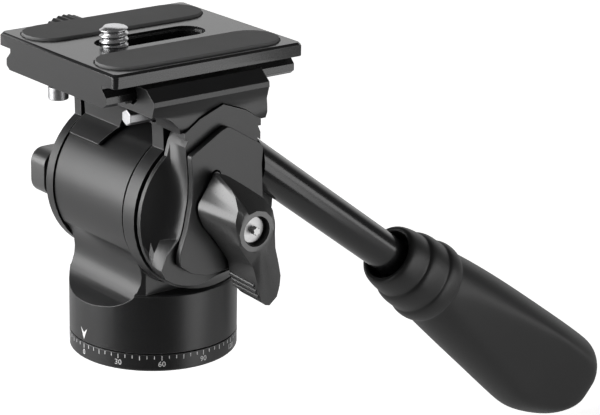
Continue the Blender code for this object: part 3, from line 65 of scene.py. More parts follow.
print("frame loaded")


# camera: where the tripod head was seen from
cameraSetup = {
    "azimuth": 51.6, "elevation": 18.34, "roll": 1.08, "distance": 567.4 * mm,
    "aimAcross": 32.81 * mm, "aimHeight": 32.61 * mm, "lens": 152.2, "sensor": 36.0,
    "near": 0.01, "far": 20.0,
}


# unit vector out to an azimuth, 0 at -Y and 90 at +X, and an elevation, in degrees
def outward(azimuth, elevation):
    around, up = math.radians(azimuth), math.radians(elevation)
    return Vector((math.sin(around) * math.cos(up), -math.cos(around) * math.cos(up), math.sin(up)))


def placeCamera(setup):
    back = outward(setup["azimuth"], setup["elevation"])
    right = outward(setup["azimuth"] + 90, 0)
    aim = right * setup["aimAcross"] + Vector((0, 0, setup["aimHeight"]))
    roll = Matrix.Rotation(math.radians(setup["roll"]), 4, "Z")
    turn = Matrix((right, back.cross(right), back)).transposed().to_4x4() @ roll
    lensData = bpy.data.cameras.new("camera")
    lensData.sensor_fit = "HORIZONTAL"
    lensData.sensor_width = setup["sensor"]
    lensData.lens = setup["lens"]
    lensData.clip_start = setup["near"]
    lensData.clip_end = setup["far"]
    camera = bpy.data.objects.new("camera", lensData)
    camera.matrix_world = Matrix.Translation(aim + back * setup["distance"]) @ turn
    bpy.context.scene.collection.objects.link(camera)
    bpy.context.scene.camera = camera


placeCamera(cameraSetup)
bpy.context.scene.view_settings.view_transform = "Standard"


# node helpers: a value that is a socket is linked, any other is set
def feed(tree, socket, value):
    if isinstance(value, bpy.types.NodeSocket):
        tree.links.new(value, socket)
    elif socket.type == "RGBA":
        socket.default_value = (*value, 1)
    else:
        socket.default_value = value


def addNode(tree, kind, settings=None, **inputs):
    node = tree.nodes.new(kind)
    for key, value in (settings or {}).items():
        setattr(node, key, value)
    for key, value in inputs.items():
        feed(tree, node.inputs[key.replace("_", " ")], value)
    return node


def mixColour(tree, share, first, second):
    node = addNode(tree, "ShaderNodeMix", {"data_type": "RGBA"})
    for index, value in ((0, share), (6, first), (7, second)):
        feed(tree, node.inputs[index], value)
    return node.outputs[2]


def remap(tree, value, low, high, newLow, newHigh):
    node = addNode(tree, "ShaderNodeMapRange", {"clamp": True})
    for index, item in enumerate((value, low, high, newLow, newHigh)):
        feed(tree, node.inputs[index], item)
    return node.outputs[0]


def combine(tree, operation, first, second):
    node = addNode(tree, "ShaderNodeMath", {"operation": operation})
    feed(tree, node.inputs[0], first)
    feed(tree, node.inputs[1], second)
    return node.outputs[0]


def dotOf(tree, first, second):
    node = addNode(tree, "ShaderNodeVectorMath", {"operation": "DOT_PRODUCT"})
    feed(tree, node.inputs[0], first)
    feed(tree, node.inputs[1], second)
    return node.outputs["Value"]


# noise and edge settings that all finishes share, the painted edge highlight among them; a span is the part of
# the noise that is stretched
finishSetup = {
    "broadNoise": {"Scale": 90.0, "Detail": 4.0, "Roughness": 0.55}, "broadSpan": (0.3, 0.7),
    "grainNoise": {"Detail": 3.0, "Roughness": 0.6}, "fleckSpan": (0.35, 0.75), "roughSpan": (0.25, 0.75),
    "highlightBreakNoise": {"Scale": 700.0, "Detail": 3.0}, "highlightBreakSpan": (0.3, 0.7), "edgeHighlightSpan": (0.995, 0.90),
    "edgeSamples": 6, "fleck": 0.35, "bumpDepth": 0.02 * mm, "edgeHighlightLow": 0.45,
}


# a finish: mottled colour, blasted or moulded grain in bump and roughness, and a painted highlight that
# colours edges lighter, broken up by noise
def makeFinish(name, finishLook):
    look = {**finishSetup, **finishLook}
    material = bpy.data.materials.new(name)
    material.use_nodes = True
    tree = material.node_tree
    shader = tree.nodes["Principled BSDF"]
    place = addNode(tree, "ShaderNodeTexCoord").outputs["Object"]
    grain = addNode(tree, "ShaderNodeTexNoise", Vector=place, Scale=look["grainScale"],
                    **look["grainNoise"]).outputs["Fac"]
    broad = addNode(tree, "ShaderNodeTexNoise", Vector=place, **look["broadNoise"]).outputs["Fac"]
    colour = mixColour(tree, remap(tree, broad, *look["broadSpan"], 0.0, 1.0), look["dark"], look["light"])
    fleck = remap(tree, grain, *look["fleckSpan"], 0.0, look["fleck"])
    colour = mixColour(tree, fleck, colour, look.get("fleckColour", look["light"]))
    bump = addNode(tree, "ShaderNodeBump", Strength=look["bump"], Distance=look["bumpDepth"], Height=grain)
    if look.get("edge"):
        samples = {"samples": look["edgeSamples"]}
        soft = addNode(tree, "ShaderNodeBevel", samples, Radius=look["edge"]).outputs[0]
        flat = addNode(tree, "ShaderNodeNewGeometry").outputs["Normal"]
        # painted highlight: where the rounded normal turns away from the flat one, the colour is mixed towards
        # a light edge colour, more or less by noise
        edge = remap(tree, dotOf(tree, soft, flat), *look["edgeHighlightSpan"], 0.0, 1.0)
        highlightBreak = addNode(tree, "ShaderNodeTexNoise", Vector=place, **look["highlightBreakNoise"]).outputs["Fac"]
        share = remap(tree, highlightBreak, *look["highlightBreakSpan"], look["edgeHighlightLow"], 1.0)
        paintedHighlight = combine(tree, "MULTIPLY", edge, share)
        colour = mixColour(tree, paintedHighlight, colour, look["edgeHighlightColour"])
        tree.links.new(soft, bump.inputs["Normal"])
    tree.links.new(colour, shader.inputs["Base Color"])
    roughness = remap(tree, grain, *look["roughSpan"], *look["roughness"])
    tree.links.new(roughness, shader.inputs["Roughness"])
    tree.links.new(bump.outputs[0], shader.inputs["Normal"])
    for socket, value in look.get("shader", {}).items():
        shader.inputs[socket].default_value = value
    return material


# the edge colour of a look is the colour of its painted edge highlight
finishLooks = {
    "blastedBlack": {"dark": (0.008, 0.008, 0.0085), "light": (0.012, 0.012, 0.0125),
                     "fleckColour": (0.028, 0.028, 0.028), "grainScale": 4200.0, "roughness": (0.29, 0.39),
                     "bump": 0.45, "edge": 0.2 * mm, "edgeHighlightColour": (0.24, 0.24, 0.24), "edgeHighlightLow": 0.4},
    "yokeBlack": {"dark": (0.008, 0.008, 0.0085), "light": (0.012, 0.012, 0.0125),
                  "fleckColour": (0.028, 0.028, 0.028), "grainScale": 4600.0, "roughness": (0.31, 0.41),
                  "bump": 0.45, "edge": 0.2 * mm, "edgeHighlightColour": (0.32, 0.32, 0.32)},
    "rodBlack": {"dark": (0.007, 0.007, 0.0075), "light": (0.010, 0.010, 0.0105),
                 "fleckColour": (0.02, 0.02, 0.02), "grainScale": 4200.0, "roughness": (0.14, 0.22),
                 "bump": 0.2},
    "plateBlack": {"dark": (0.009, 0.009, 0.0095), "light": (0.013, 0.013, 0.0135),
                   "fleckColour": (0.04, 0.04, 0.04), "grainScale": 4000.0, "roughness": (0.13, 0.19),
                   "bump": 0.25, "edge": 0.12 * mm, "edgeHighlightColour": (0.09, 0.09, 0.09)},
    "knobPlastic": {"dark": (0.028, 0.028, 0.028), "light": (0.035, 0.035, 0.035), "grainScale": 3000.0,
                    "roughness": (0.26, 0.34), "bump": 0.25, "shader": {"Specular IOR Level": 0.85}},
    "gripRubber": {"dark": (0.008, 0.008, 0.008), "light": (0.011, 0.011, 0.011), "grainScale": 2600.0,
                   "roughness": (0.40, 0.50), "bump": 0.35, "bumpDepth": 0.03 * mm},
    "stripRubber": {"dark": (0.155, 0.155, 0.155), "light": (0.175, 0.175, 0.175), "grainScale": 3200.0,
                    "roughness": (0.70, 0.80), "bump": 0.35, "bumpDepth": 0.03 * mm},
    "steel": {"dark": (0.38, 0.38, 0.39), "light": (0.5, 0.5, 0.51), "grainScale": 2500.0,
              "roughness": (0.28, 0.4), "bump": 0.12, "shader": {"Metallic": 1.0}},
    "brightSteel": {"dark": (0.62, 0.62, 0.63), "light": (0.74, 0.74, 0.75), "grainScale": 1800.0,
                    "fleck": 0.15, "roughness": (0.24, 0.34), "bump": 0.12, "shader": {"Metallic": 1.0}},
    "plainSteel": {"dark": (0.30, 0.30, 0.31), "light": (0.42, 0.42, 0.43), "fleckColour": (0.6, 0.6, 0.6),
                   "grainScale": 2600.0, "fleck": 0.5, "roughness": (0.36, 0.50), "bump": 0.5,
                   "shader": {"Metallic": 1.0}},
    "capSteel": {"dark": (0.55, 0.55, 0.55), "light": (0.60, 0.60, 0.60), "grainScale": 2600.0,
                 "roughness": (0.48, 0.56), "bump": 0.12, "shader": {"Metallic": 1.0}},
    "brass": {"dark": (0.55, 0.40, 0.16), "light": (0.68, 0.52, 0.24), "grainScale": 2500.0,
              "roughness": (0.25, 0.38), "bump": 0.12, "shader": {"Metallic": 1.0}},
    "bearingPolymer": {"dark": (0.66, 0.65, 0.61), "light": (0.74, 0.73, 0.69), "grainScale": 2500.0,
                       "fleck": 0.1, "roughness": (0.45, 0.55), "bump": 0.1},
    "scalePaint": {"dark": (0.72, 0.72, 0.72), "light": (0.82, 0.82, 0.82), "grainScale": 6000.0,
                   "roughness": (0.5, 0.6), "bump": 0.1},
}
finishes = {name: makeFinish(name, look) for name, look in finishLooks.items()}
slotFinish = {
    "black_metal": "blastedBlack", "plate_metal": "plateBlack", "black_plastic": "knobPlastic",
    "grip_rubber": "gripRubber", "strip_rubber": "stripRubber", "steel": "steel",
    "bright_steel": "brightSteel", "brass": "brass", "bearing_polymer": "bearingPolymer",
}
print("finishes made")


# every carried-over node takes the finish of its slot
def slotOf(node):
    for name in (slot.material.name.split(".")[0] for slot in node.material_slots if slot.material):
        if name in slotFinish:
            return name
    return "steel"


nodeSlots = {name: slotOf(node) for name, node in frame["nodes"].items()}
for name, node in frame["nodes"].items():
    node.data.materials.clear()
    node.data.materials.append(finishes[slotFinish[nodeSlots[name]]])
print("node slots", sorted(set(nodeSlots.values())))


# how copies are merged and edges are kept sharp or softened
shapeSetup = {
    "mergeGap": 0.003 * mm, "flatAngle": 0.4, "sharpAngle": 34, "softenSegments": 2, "softenAngle": 30,
}


def meshOf(bm, name):
    mesh = bpy.data.meshes.new(name)
    bm.to_mesh(mesh)
    bm.free()
    return mesh


# a bmesh becomes a finished piece that rides on its body, in place of the nodes that it stands for;
# the normals that came with a node no longer fit a changed mesh, so they go unless they are asked for
def settle(name, bm, body, finish, standsFor=(), sharp=shapeSetup["sharpAngle"], bevel=0, subdivide=0,
           keepNormals=False):
    mesh = meshOf(bm, name)
    carriedNormals = mesh.attributes.get("custom_normal")
    if carriedNormals and not keepNormals:
        mesh.attributes.remove(carriedNormals)
    mesh.materials.append(finishes[finish])
    mesh.shade_smooth()
    if not subdivide:
        mesh.set_sharp_from_angle(angle=math.radians(sharp))
    piece = bpy.data.objects.new(name, mesh)
    bpy.context.scene.collection.objects.link(piece)
    if bevel:
        soften = piece.modifiers.new("soften", "BEVEL")
        soften.width = bevel
        soften.segments = shapeSetup["softenSegments"]
        soften.limit_method = "ANGLE"
        soften.angle_limit = math.radians(shapeSetup["softenAngle"])
        soften.harden_normals = True
    if subdivide:
        rounder = piece.modifiers.new("rounder", "SUBSURF")
        rounder.levels = subdivide
        rounder.render_levels = subdivide
    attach(piece, body)
    if standsFor:
        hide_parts(*standsFor)


def vertsIn(geometry):
    return [item for item in geometry if isinstance(item, bmesh.types.BMVert)]


# a copy of a node's loose triangles, joined at their corners
def joinedCopy(nodeName):
    bm = bmesh.new()
    bm.from_mesh(frame["nodes"][nodeName].data)
    bmesh.ops.remove_doubles(bm, verts=bm.verts, dist=shapeSetup["mergeGap"])
    return bm


# the same, with flat groups of triangles merged into whole faces
def mergedCopy(nodeName):
    bm = joinedCopy(nodeName)
    bmesh.ops.dissolve_limit(bm, angle_limit=math.radians(shapeSetup["flatAngle"]), verts=bm.verts,
                             edges=bm.edges)
    return bm


def joinInto(target, part):
    mesh = meshOf(part, "part")
    target.from_mesh(mesh)
    bpy.data.meshes.remove(mesh)


# keep what lies below a plane, and close the cut
def cutAbove(bm, point, normal):
    cut = bmesh.ops.bisect_plane(bm, geom=bm.verts[:] + bm.edges[:] + bm.faces[:], plane_co=point,
                                 plane_no=normal, clear_outer=True)
    rim = [item for item in cut["geom_cut"] if isinstance(item, bmesh.types.BMEdge)]
    bmesh.ops.edgenet_fill(bm, edges=rim)


# an upright tube of rings 1 apart, each point then placed by its row and its angle
def unitTube(count, rows):
    bm = bmesh.new()
    bmesh.ops.create_circle(bm, segments=count, radius=1)
    rim = bm.edges[:]
    for row in range(1, rows):
        grown = bmesh.ops.extrude_edge_only(bm, edges=rim)["geom"]
        bmesh.ops.translate(bm, verts=vertsIn(grown), vec=(0, 0, 1))
        rim = [item for item in grown if isinstance(item, bmesh.types.BMEdge)
               and all(round(vert.co.z) == row for vert in item.verts)]
    return bm


def closeEnds(bm):
    bmesh.ops.holes_fill(bm, edges=[edge for edge in bm.edges if edge.is_boundary])
    bmesh.ops.recalc_face_normals(bm, faces=bm.faces)


# pieces that keep their node's shape, with softened edges: node, finish, edge width in mm and sharp angle
dressedNodes = {
    "scaleRing": ("scale_ring", "blastedBlack", 0.12, 34),
    "panBody": ("pan_body", "blastedBlack", 0.2, 34),
    "yokeBody": ("yoke", "yokeBlack", 0.22, 34),
    "armHousing": ("arm_housing", "yokeBlack", 0.18, 48),
    "armCover": ("arm_cover", "yokeBlack", 0.2, 34),
    "handleRod": ("handle_rod", "rodBlack", 0, 34),
    "jawBody": ("sliding_jaw", "yokeBlack", 0.2, 34),
    "tiltKnob": ("tilt_lock_knob", "knobPlastic", 0.3, 50),
    "panKnob": ("pan_lock_knob", "knobPlastic", 0.8, 50),
    "clampKnob": ("clamp_knob", "blastedBlack", 0.1, 34),
    "safetyBar": ("safety_button", "plainSteel", 0.3, 34),
    "stopScrewFront": ("front_stop_screw", "plainSteel", 0.25, 34),
    "stopScrewRear": ("rear_stop_screw", "plainSteel", 0.25, 34),
    "leftStrip": ("left_rubber_strip", "stripRubber", 0.25, 34),
    "rightStrip": ("right_rubber_strip", "stripRubber", 0.25, 34),
}
for pieceName, (nodeName, finish, width, sharpAngle) in dressedNodes.items():
    body = frame["nodes"][nodeName]["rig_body"]
    settle(pieceName, mergedCopy(nodeName), body, finish, [nodeName], sharp=sharpAngle,
           bevel=width * mm)
print("node copies dressed")


# release plate: the node's shape with a wider chamfer round its top, also across its corners
plateTrim = {"chamfer": 0.5 * mm, "corner": 0.7 * mm, "sides": 8}


def makePlate(setup):
    bm = joinedCopy("release_plate")
    low, high = (Vector(corner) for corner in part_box("release_plate"))
    middle = (low + high) / 2
    for index in range(setup["sides"]):
        turn = math.radians(index * 360 / setup["sides"])
        side = Vector((math.cos(turn), math.sin(turn), 0))
        reach = abs(side.x) * (high.x - middle.x) + abs(side.y) * (high.y - middle.y)
        if index % 2:
            reach -= setup["corner"]
        point = Vector((middle.x, middle.y, high.z)) + side * (reach - setup["chamfer"])
        cutAbove(bm, point, side + Vector((0, 0, 1)))
    bmesh.ops.recalc_face_normals(bm, faces=bm.faces)
    settle("plateBody", bm, "plate", "plateBlack", ["release_plate"])


makePlate(plateTrim)
print("plate trimmed")


# handle grip: a station is its share of the length, then up, down, side and facet in mouth radii;
# the well's low and high rings and its lip stand at shares of its depth and of the length
gripSetup = {
    "start": 61.0 * mm, "length": 79.0 * mm, "mouth": 8.4 * mm, "slope": 37.1, "across": 23.95 * mm,
    "rise": 54.8 * mm, "points": 40, "lean": 0.10, "rounding": 2,
    "wellRadius": 5.7 * mm, "wellDepth": 5.0 * mm, "wellLow": 0.9, "wellHigh": 0.006,
    "wellLip": 0.001, "lipWiden": 1.06,
    "stations": [
        (0.0, 0.83, 0.83, 0.83, 0.83), (0.012, 0.90, 0.90, 0.90, 0.90), (0.05, 0.97, 0.96, 0.93, 0.93),
        (0.074, 0.96, 0.96, 0.92, 0.92), (0.078, 0.97, 0.97, 0.93, 0.93), (0.084, 1.06, 1.05, 1.0, 1.0),
        (0.115, 1.11, 1.10, 1.03, 1.03), (0.154, 1.09, 1.09, 1.02, 1.02), (0.159, 1.09, 1.09, 1.02, 1.02),
        (0.165, 1.17, 1.16, 1.07, 1.07), (0.19, 1.20, 1.18, 1.09, 1.09), (0.215, 1.17, 1.15, 1.06, 1.06),
        (0.221, 1.11, 1.10, 1.02, 1.02), (0.229, 1.11, 1.10, 1.02, 1.02),
        (0.27, 1.16, 1.16, 1.06, 1.04), (0.40, 1.25, 1.31, 1.12, 1.02), (0.55, 1.30, 1.47, 1.18, 0.98),
        (0.72, 1.33, 1.67, 1.25, 0.93), (0.78, 1.34, 1.68, 1.26, 0.92), (0.89, 1.34, 1.38, 1.20, 0.90),
        (0.94, 1.31, 1.10, 1.10, 0.88), (0.98, 1.02, 0.76, 0.88, 0.80), (1.0, 0.62, 0.42, 0.52, 0.52),
    ],
}


def makeGrip(setup):
    slope = math.radians(setup["slope"])
    well = setup["wellRadius"] / setup["mouth"]
    depth = setup["wellDepth"] / setup["length"]
    inner = [(share, *[well] * 4) for share in (depth, depth * setup["wellLow"], setup["wellHigh"])]
    lip = (setup["wellLip"], *[well * setup["lipWiden"]] * 4)
    stations = [*inner, lip, *setup["stations"]]
    bm = unitTube(setup["points"], len(stations))
    for vert in bm.verts:
        share, up, down, side, facet = stations[round(vert.co.z)]
        angle = math.atan2(vert.co.y, vert.co.x)
        across = math.sin(angle) * (up if math.sin(angle) > 0 else down) * setup["mouth"]
        flat = facet * setup["mouth"] + setup["lean"] * across
        wide = min(math.cos(angle) * side * setup["mouth"], flat)
        along = setup["start"] + setup["length"] * share
        vert.co = Vector((setup["across"] + wide, math.cos(slope) * along + math.sin(slope) * across,
                          setup["rise"] - math.sin(slope) * along + math.cos(slope) * across))
    closeEnds(bm)
    settle("gripBody", bm, "tilt", "gripRubber", ["grip"], subdivide=setup["rounding"])


makeGrip(gripSetup)
print("grip shaped")


# camera screw: the node's head with a real 1/4 inch thread above it
threadSetup = {
    "radius": 3.17 * mm, "depth": 0.62 * mm, "pitch": 1.27 * mm, "steps": 36, "turns": 9,
    "root": (0.18, 0.9), "crest": (0.46, 0.62), "headTop": 2.2 * mm, "overlap": 0.1 * mm,
    "lead": 0.5 * mm, "taper": 0.16, "mergeGap": 0.01 * mm, "sharpAngle": 50,
}


def makeCameraScrew(setup):
    low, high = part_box("camera_screw")
    axisY = (low[1] + high[1]) / 2
    start = low[2] + setup["headTop"]
    bm = mergedCopy("camera_screw")
    cutAbove(bm, (0, 0, start), (0, 0, 1))
    thread = bmesh.new()
    crest, root = setup["radius"], setup["radius"] - setup["depth"]
    rootEnd, rootStart = setup["root"]
    crestStart, crestEnd = setup["crest"]
    profile = [(root, 0.0), (root, rootEnd), (crest, crestStart), (crest, crestEnd), (root, rootStart),
               (root, 1.0)]
    points = [thread.verts.new((radius, 0, (share - 1) * setup["pitch"])) for radius, share in profile]
    chain = [thread.edges.new(pair) for pair in zip(points, points[1:])]
    bmesh.ops.spin(thread, geom=points + chain, cent=(0, 0, 0), axis=(0, 0, 1),
                   dvec=(0, 0, setup["pitch"] / setup["steps"]), angle=math.tau * setup["turns"],
                   steps=setup["steps"] * setup["turns"], use_merge=False)
    bmesh.ops.remove_doubles(thread, verts=thread.verts, dist=setup["mergeGap"])
    bmesh.ops.translate(thread, verts=thread.verts, vec=(0, axisY, start))
    cutAbove(thread, (0, 0, high[2]), (0, 0, 1))
    cutAbove(thread, (0, 0, start - setup["overlap"]), (0, 0, -1))
    for vert in thread.verts:
        past = (vert.co.z - high[2]) / setup["lead"] + 1
        if past > 0:
            shrink = 1 - setup["taper"] * past * past
            vert.co.x *= shrink
            vert.co.y = axisY + (vert.co.y - axisY) * shrink
    bmesh.ops.recalc_face_normals(thread, faces=thread.faces)
    joinInto(bm, thread)
    settle("cameraScrew", bm, "camera_screw", "brightSteel", ["camera_screw"],
           sharp=setup["sharpAngle"], keepNormals=True)


makeCameraScrew(threadSetup)
print("camera screw threaded")


# cap screw in the tilt knob's boss, meant to have a six-lobed socket. Known fault: the inset does nothing on a
# lone face without use_boundary=True, so the disc and the rim are missing and a small lobed plug is left
capSetup = {
    "radius": 2.83 * mm, "height": 1.6 * mm, "segments": 48, "socket": 0.85 * mm, "depth": 1.2 * mm,
    "lobe": 0.13 * mm, "lobes": 6, "rimShare": 0.98, "soften": 0.08 * mm,
}


def makeCapScrew(setup):
    low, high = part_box("knob_screw")
    bm = mergedCopy("knob_screw")
    cutAbove(bm, (high[0] - setup["height"], 0, 0), (1, 0, 0))
    head = bmesh.new()
    bmesh.ops.create_circle(head, cap_ends=True, segments=setup["segments"],
                            radius=setup["radius"])
    top = head.faces[:][0]
    bmesh.ops.inset_region(head, faces=[top], thickness=setup["radius"] - setup["socket"] - setup["lobe"])
    for vert in top.verts:
        angle = math.atan2(vert.co.y, vert.co.x)
        reach = setup["socket"] + setup["lobe"] * math.cos(setup["lobes"] * angle)
        vert.co = Vector((math.cos(angle), math.sin(angle), 0)) * reach
    sunk = bmesh.ops.extrude_face_region(head, geom=[top])["geom"]
    bmesh.ops.translate(head, verts=vertsIn(sunk), vec=(0, 0, -setup["depth"]))
    rim = setup["radius"] * setup["rimShare"]
    outer = [edge for edge in head.edges if all(vert.co.xy.length > rim for vert in edge.verts)]
    skirt = bmesh.ops.extrude_edge_only(head, edges=outer)["geom"]
    bmesh.ops.translate(head, verts=vertsIn(skirt), vec=(0, 0, -setup["height"]))
    closeEnds(head)
    middle = Vector((high[0], (low[1] + high[1]) / 2, (low[2] + high[2]) / 2))
    bmesh.ops.transform(head, verts=head.verts,
                        matrix=Matrix.Translation(middle) @ Matrix.Rotation(math.pi / 2, 4, "Y"))
    joinInto(bm, head)
    settle("knobCapScrew", bm, "tilt_lock", "capSteel", ["knob_screw"],
           bevel=setup["soften"])


makeCapScrew(capSetup)


# three ribs on the lower wing of the tilt knob, laid on the wall that a ray from the front meets
ribSetup = {
    "heights": (24.9 * mm, 23.55 * mm, 22.2 * mm), "drop": 1.8 * mm, "from": 28.6 * mm, "to": 34.5 * mm,
    "wide": 1.15 * mm, "proud": 0.42 * mm, "segments": 12, "soften": 0.12 * mm, "rayFrom": -30 * mm,
}


def makeRibs(setup):
    wall = BVHTree.FromBMesh(mergedCopy("tilt_lock_knob"))
    ribs = bmesh.new()
    for height in setup["heights"]:
        near, far = (wall.ray_cast(Vector((x, setup["rayFrom"], z)), Vector((0, 1, 0)))[0]
                     for x, z in ((setup["from"], height), (setup["to"], height - setup["drop"])))
        bar = bmesh.new()
        bmesh.ops.create_cone(bar, cap_ends=True, segments=setup["segments"], radius1=setup["wide"] / 2,
                              radius2=setup["wide"] / 2, depth=(far - near).length)
        bmesh.ops.scale(bar, verts=bar.verts, vec=(1, setup["proud"] * 2 / setup["wide"], 1))
        along = (far - near).normalized()
        out = Vector((0, -1, 0))
        out = (out - along * out.dot(along)).normalized()
        turn = Matrix((out.cross(along), out, along)).transposed().to_4x4()
        bmesh.ops.transform(bar, verts=bar.verts, matrix=Matrix.Translation((near + far) / 2) @ turn)
        joinInto(ribs, bar)
    bmesh.ops.recalc_face_normals(ribs, faces=ribs.faces)
    settle("knobRibs", ribs, "tilt_lock", "knobPlastic", bevel=setup["soften"])


makeRibs(ribSetup)
print("tilt knob finished")


# scale on the foot: ticks, numbers and the pan body's arrow, a hair proud as printed paint
scaleMarks = {
    "radius": 18.98 * mm, "proud": 0.025 * mm, "phase": 0.8, "top": 3.75 * mm, "tick": 0.16 * mm,
    "short": 0.75 * mm, "long": 1.05 * mm, "step": 5, "longStep": 15, "numberStep": 30,
    "numberTop": 2.45 * mm, "numberSize": 1.75 * mm, "curveSteps": 3, "mergeGap": 0.001 * mm,
    "arrowFoot": 4.75 * mm, "arrowHalf": 1.2 * mm, "arrowHeight": 2.8 * mm, "arrowNotch": 1.65 * mm,
}


# points (across, height, proud) go round the upright cylinder at that angle from the front
def wrapOnRound(bm, radius, degrees):
    for vert in bm.verts:
        across, height, proud = vert.co
        turn = math.radians(degrees) + across / radius
        vert.co = Vector((math.sin(turn) * (radius + proud), -math.cos(turn) * (radius + proud), height))


def textMesh(words, setup):
    curve = bpy.data.curves.new("number", "FONT")
    curve.body = words
    curve.size = setup["numberSize"]
    curve.align_x = "CENTER"
    curve.extrude = setup["proud"]
    curve.resolution_u = setup["curveSteps"]
    holder = bpy.data.objects.new("number", curve)
    bpy.context.scene.collection.objects.link(holder)
    mesh = bpy.data.meshes.new_from_object(holder.evaluated_get(bpy.context.evaluated_depsgraph_get()))
    bpy.data.objects.remove(holder)
    bpy.data.curves.remove(curve)
    return mesh


def makeTicks(setup):
    marks = bmesh.new()
    for degrees in range(0, 360, setup["step"]):
        length = setup["short"] if degrees % setup["longStep"] else setup["long"]
        tick = bmesh.new()
        place = Matrix.Translation((0, setup["top"] - length / 2, 0))
        stretch = Matrix.Diagonal((setup["tick"], length, setup["proud"] * 2, 1))
        bmesh.ops.create_cube(tick, size=1, matrix=place @ stretch)
        wrapOnRound(tick, setup["radius"], degrees + setup["phase"])
        joinInto(marks, tick)
    settle("scaleTicks", marks, "base", "scalePaint")


def makeNumbers(setup):
    numbers = bmesh.new()
    for degrees in range(0, 360, setup["numberStep"]):
        mesh = textMesh(str(degrees), setup)
        number = bmesh.new()
        number.from_mesh(mesh)
        bpy.data.meshes.remove(mesh)
        bmesh.ops.remove_doubles(number, verts=number.verts, dist=setup["mergeGap"])
        high = max(vert.co.y for vert in number.verts)
        bmesh.ops.translate(number, verts=number.verts, vec=(0, setup["numberTop"] - high, 0))
        wrapOnRound(number, setup["radius"], degrees + setup["phase"])
        joinInto(numbers, number)
    settle("scaleNumbers", numbers, "base", "scalePaint")


def makeArrow(setup):
    arrow = bmesh.new()
    tip = arrow.verts.new((0, 0, -setup["proud"]))
    notch = arrow.verts.new((0, setup["arrowNotch"], -setup["proud"]))
    for side in (-1, 1):
        corner = arrow.verts.new((side * setup["arrowHalf"], setup["arrowHeight"], -setup["proud"]))
        arrow.faces.new((tip, corner, notch)[::side])
    raised = bmesh.ops.extrude_face_region(arrow, geom=arrow.faces[:])["geom"]
    bmesh.ops.translate(arrow, verts=vertsIn(raised), vec=(0, 0, setup["proud"] * 2))
    bmesh.ops.recalc_face_normals(arrow, faces=arrow.faces)
    bmesh.ops.translate(arrow, verts=arrow.verts, vec=(0, setup["arrowFoot"], 0))
    wrapOnRound(arrow, setup["radius"], setup["phase"])
    settle("panArrow", arrow, "pan", "scalePaint")


makeTicks(scaleMarks)
makeNumbers(scaleMarks)
makeArrow(scaleMarks)
print("scale drawn")


# studio: pale floor and backdrop, and two soft lamps whose sizes are half angles seen from the head;
# the backdrop fades out over two spans, behind round to the sides and under up to the ceiling
studio = {
    "floorHeight": -36 * mm, "floorFront": 0.05, "floorBack": 1.6, "floorHalf": 1.6,
    "paper": (0.8, 0.8, 0.8), "paperRoughness": 0.9, "paperSpecular": 0.2, "paperGlow": 0.85,
    "paperShine": 0.3, "white": (1, 1, 1), "behindSpan": (-0.85, -0.6), "underSpan": (0.5, 0.68),
    "ambient": 0.10, "lampAim": 37.0 * mm,
}
lamps = {
    "mainSoftbox": {"azimuth": -27, "elevation": 7.5, "halfAcross": 27, "halfHigh": 20.5, "distance": 0.9,
                    "radiance": 7.5},
    "sideSoftbox": {"azimuth": 126, "elevation": -7, "halfAcross": 28, "halfHigh": 20, "distance": 0.9,
                    "radiance": 2.6},
}


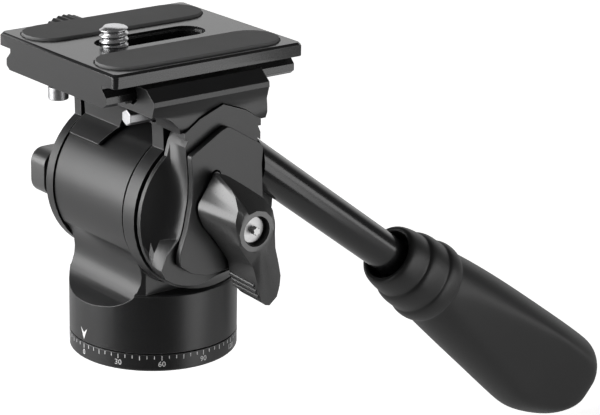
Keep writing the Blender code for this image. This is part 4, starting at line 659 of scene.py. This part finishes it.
def makeFloor(setup):
    bm = bmesh.new()
    bmesh.ops.create_grid(bm, x_segments=1, y_segments=1, size=1)
    deep = (setup["floorFront"] + setup["floorBack"]) / 2
    bmesh.ops.scale(bm, verts=bm.verts, vec=(setup["floorHalf"], deep, 1))
    bmesh.ops.translate(bm, verts=bm.verts, vec=(0, deep - setup["floorFront"], setup["floorHeight"]))
    bmesh.ops.rotate(bm, verts=bm.verts, cent=(0, 0, 0),
                     matrix=Matrix.Rotation(math.radians(cameraSetup["azimuth"]), 3, "Z"))
    mesh = meshOf(bm, "floor")
    floor = bpy.data.objects.new("floor", mesh)
    bpy.context.scene.collection.objects.link(floor)
    paper = bpy.data.materials.new("paper")
    paper.use_nodes = True
    tree = paper.node_tree
    shader = tree.nodes["Principled BSDF"]
    shader.inputs["Base Color"].default_value = (*setup["paper"], 1)
    shader.inputs["Roughness"].default_value = setup["paperRoughness"]
    shader.inputs["Specular IOR Level"].default_value = setup["paperSpecular"]
    shader.inputs["Emission Color"].default_value = (*setup["white"], 1)
    rays = addNode(tree, "ShaderNodeLightPath").outputs
    shining = combine(tree, "MAXIMUM", rays["Is Glossy Ray"], rays["Is Transmission Ray"])
    direct = combine(tree, "MULTIPLY", rays["Is Camera Ray"], setup["paperGlow"])
    mirrored = combine(tree, "MULTIPLY", shining, setup["paperShine"])
    tree.links.new(combine(tree, "MAXIMUM", direct, mirrored), shader.inputs["Emission Strength"])
    mesh.materials.append(paper)


# the backdrop is white behind the head, up to the studio's dark ceiling
def makeBackdrop(setup):
    world = bpy.data.worlds.new("studio")
    bpy.context.scene.world = world
    world.use_nodes = True
    tree = world.node_tree
    way = addNode(tree, "ShaderNodeTexCoord").outputs["Generated"]
    rays = addNode(tree, "ShaderNodeLightPath").outputs
    towards = dotOf(tree, way, outward(cameraSetup["azimuth"], 0))
    behind = remap(tree, towards, *setup["behindSpan"], 1.0, 0.0)
    under = remap(tree, dotOf(tree, way, (0, 0, 1)), *setup["underSpan"], 1.0, 0.0)
    paper = combine(tree, "MULTIPLY", behind, under)
    shining = combine(tree, "MAXIMUM", rays["Is Glossy Ray"], rays["Is Transmission Ray"])
    shown = combine(tree, "MAXIMUM", rays["Is Camera Ray"], combine(tree, "MULTIPLY", paper, shining))
    background = tree.nodes["Background"]
    background.inputs["Color"].default_value = (*setup["white"], 1)
    tree.links.new(combine(tree, "MAXIMUM", shown, setup["ambient"]), background.inputs["Strength"])


def placeLamp(name, setup):
    back = outward(setup["azimuth"], setup["elevation"])
    data = bpy.data.lights.new(name, "AREA")
    data.shape = "RECTANGLE"
    data.size = 2 * setup["distance"] * math.tan(math.radians(setup["halfAcross"]))
    data.size_y = 2 * setup["distance"] * math.tan(math.radians(setup["halfHigh"]))
    data.energy = math.pi * data.size * data.size_y * setup["radiance"]
    lamp = bpy.data.objects.new(name, data)
    middle = Vector((0, 0, studio["lampAim"]))
    turn = back.to_track_quat("Z", "Y").to_matrix().to_4x4()
    lamp.matrix_world = Matrix.Translation(middle + back * setup["distance"]) @ turn
    bpy.context.scene.collection.objects.link(lamp)


makeFloor(studio)
makeBackdrop(studio)
for lampName, lampSetup in lamps.items():
    placeLamp(lampName, lampSetup)
print("studio lit")
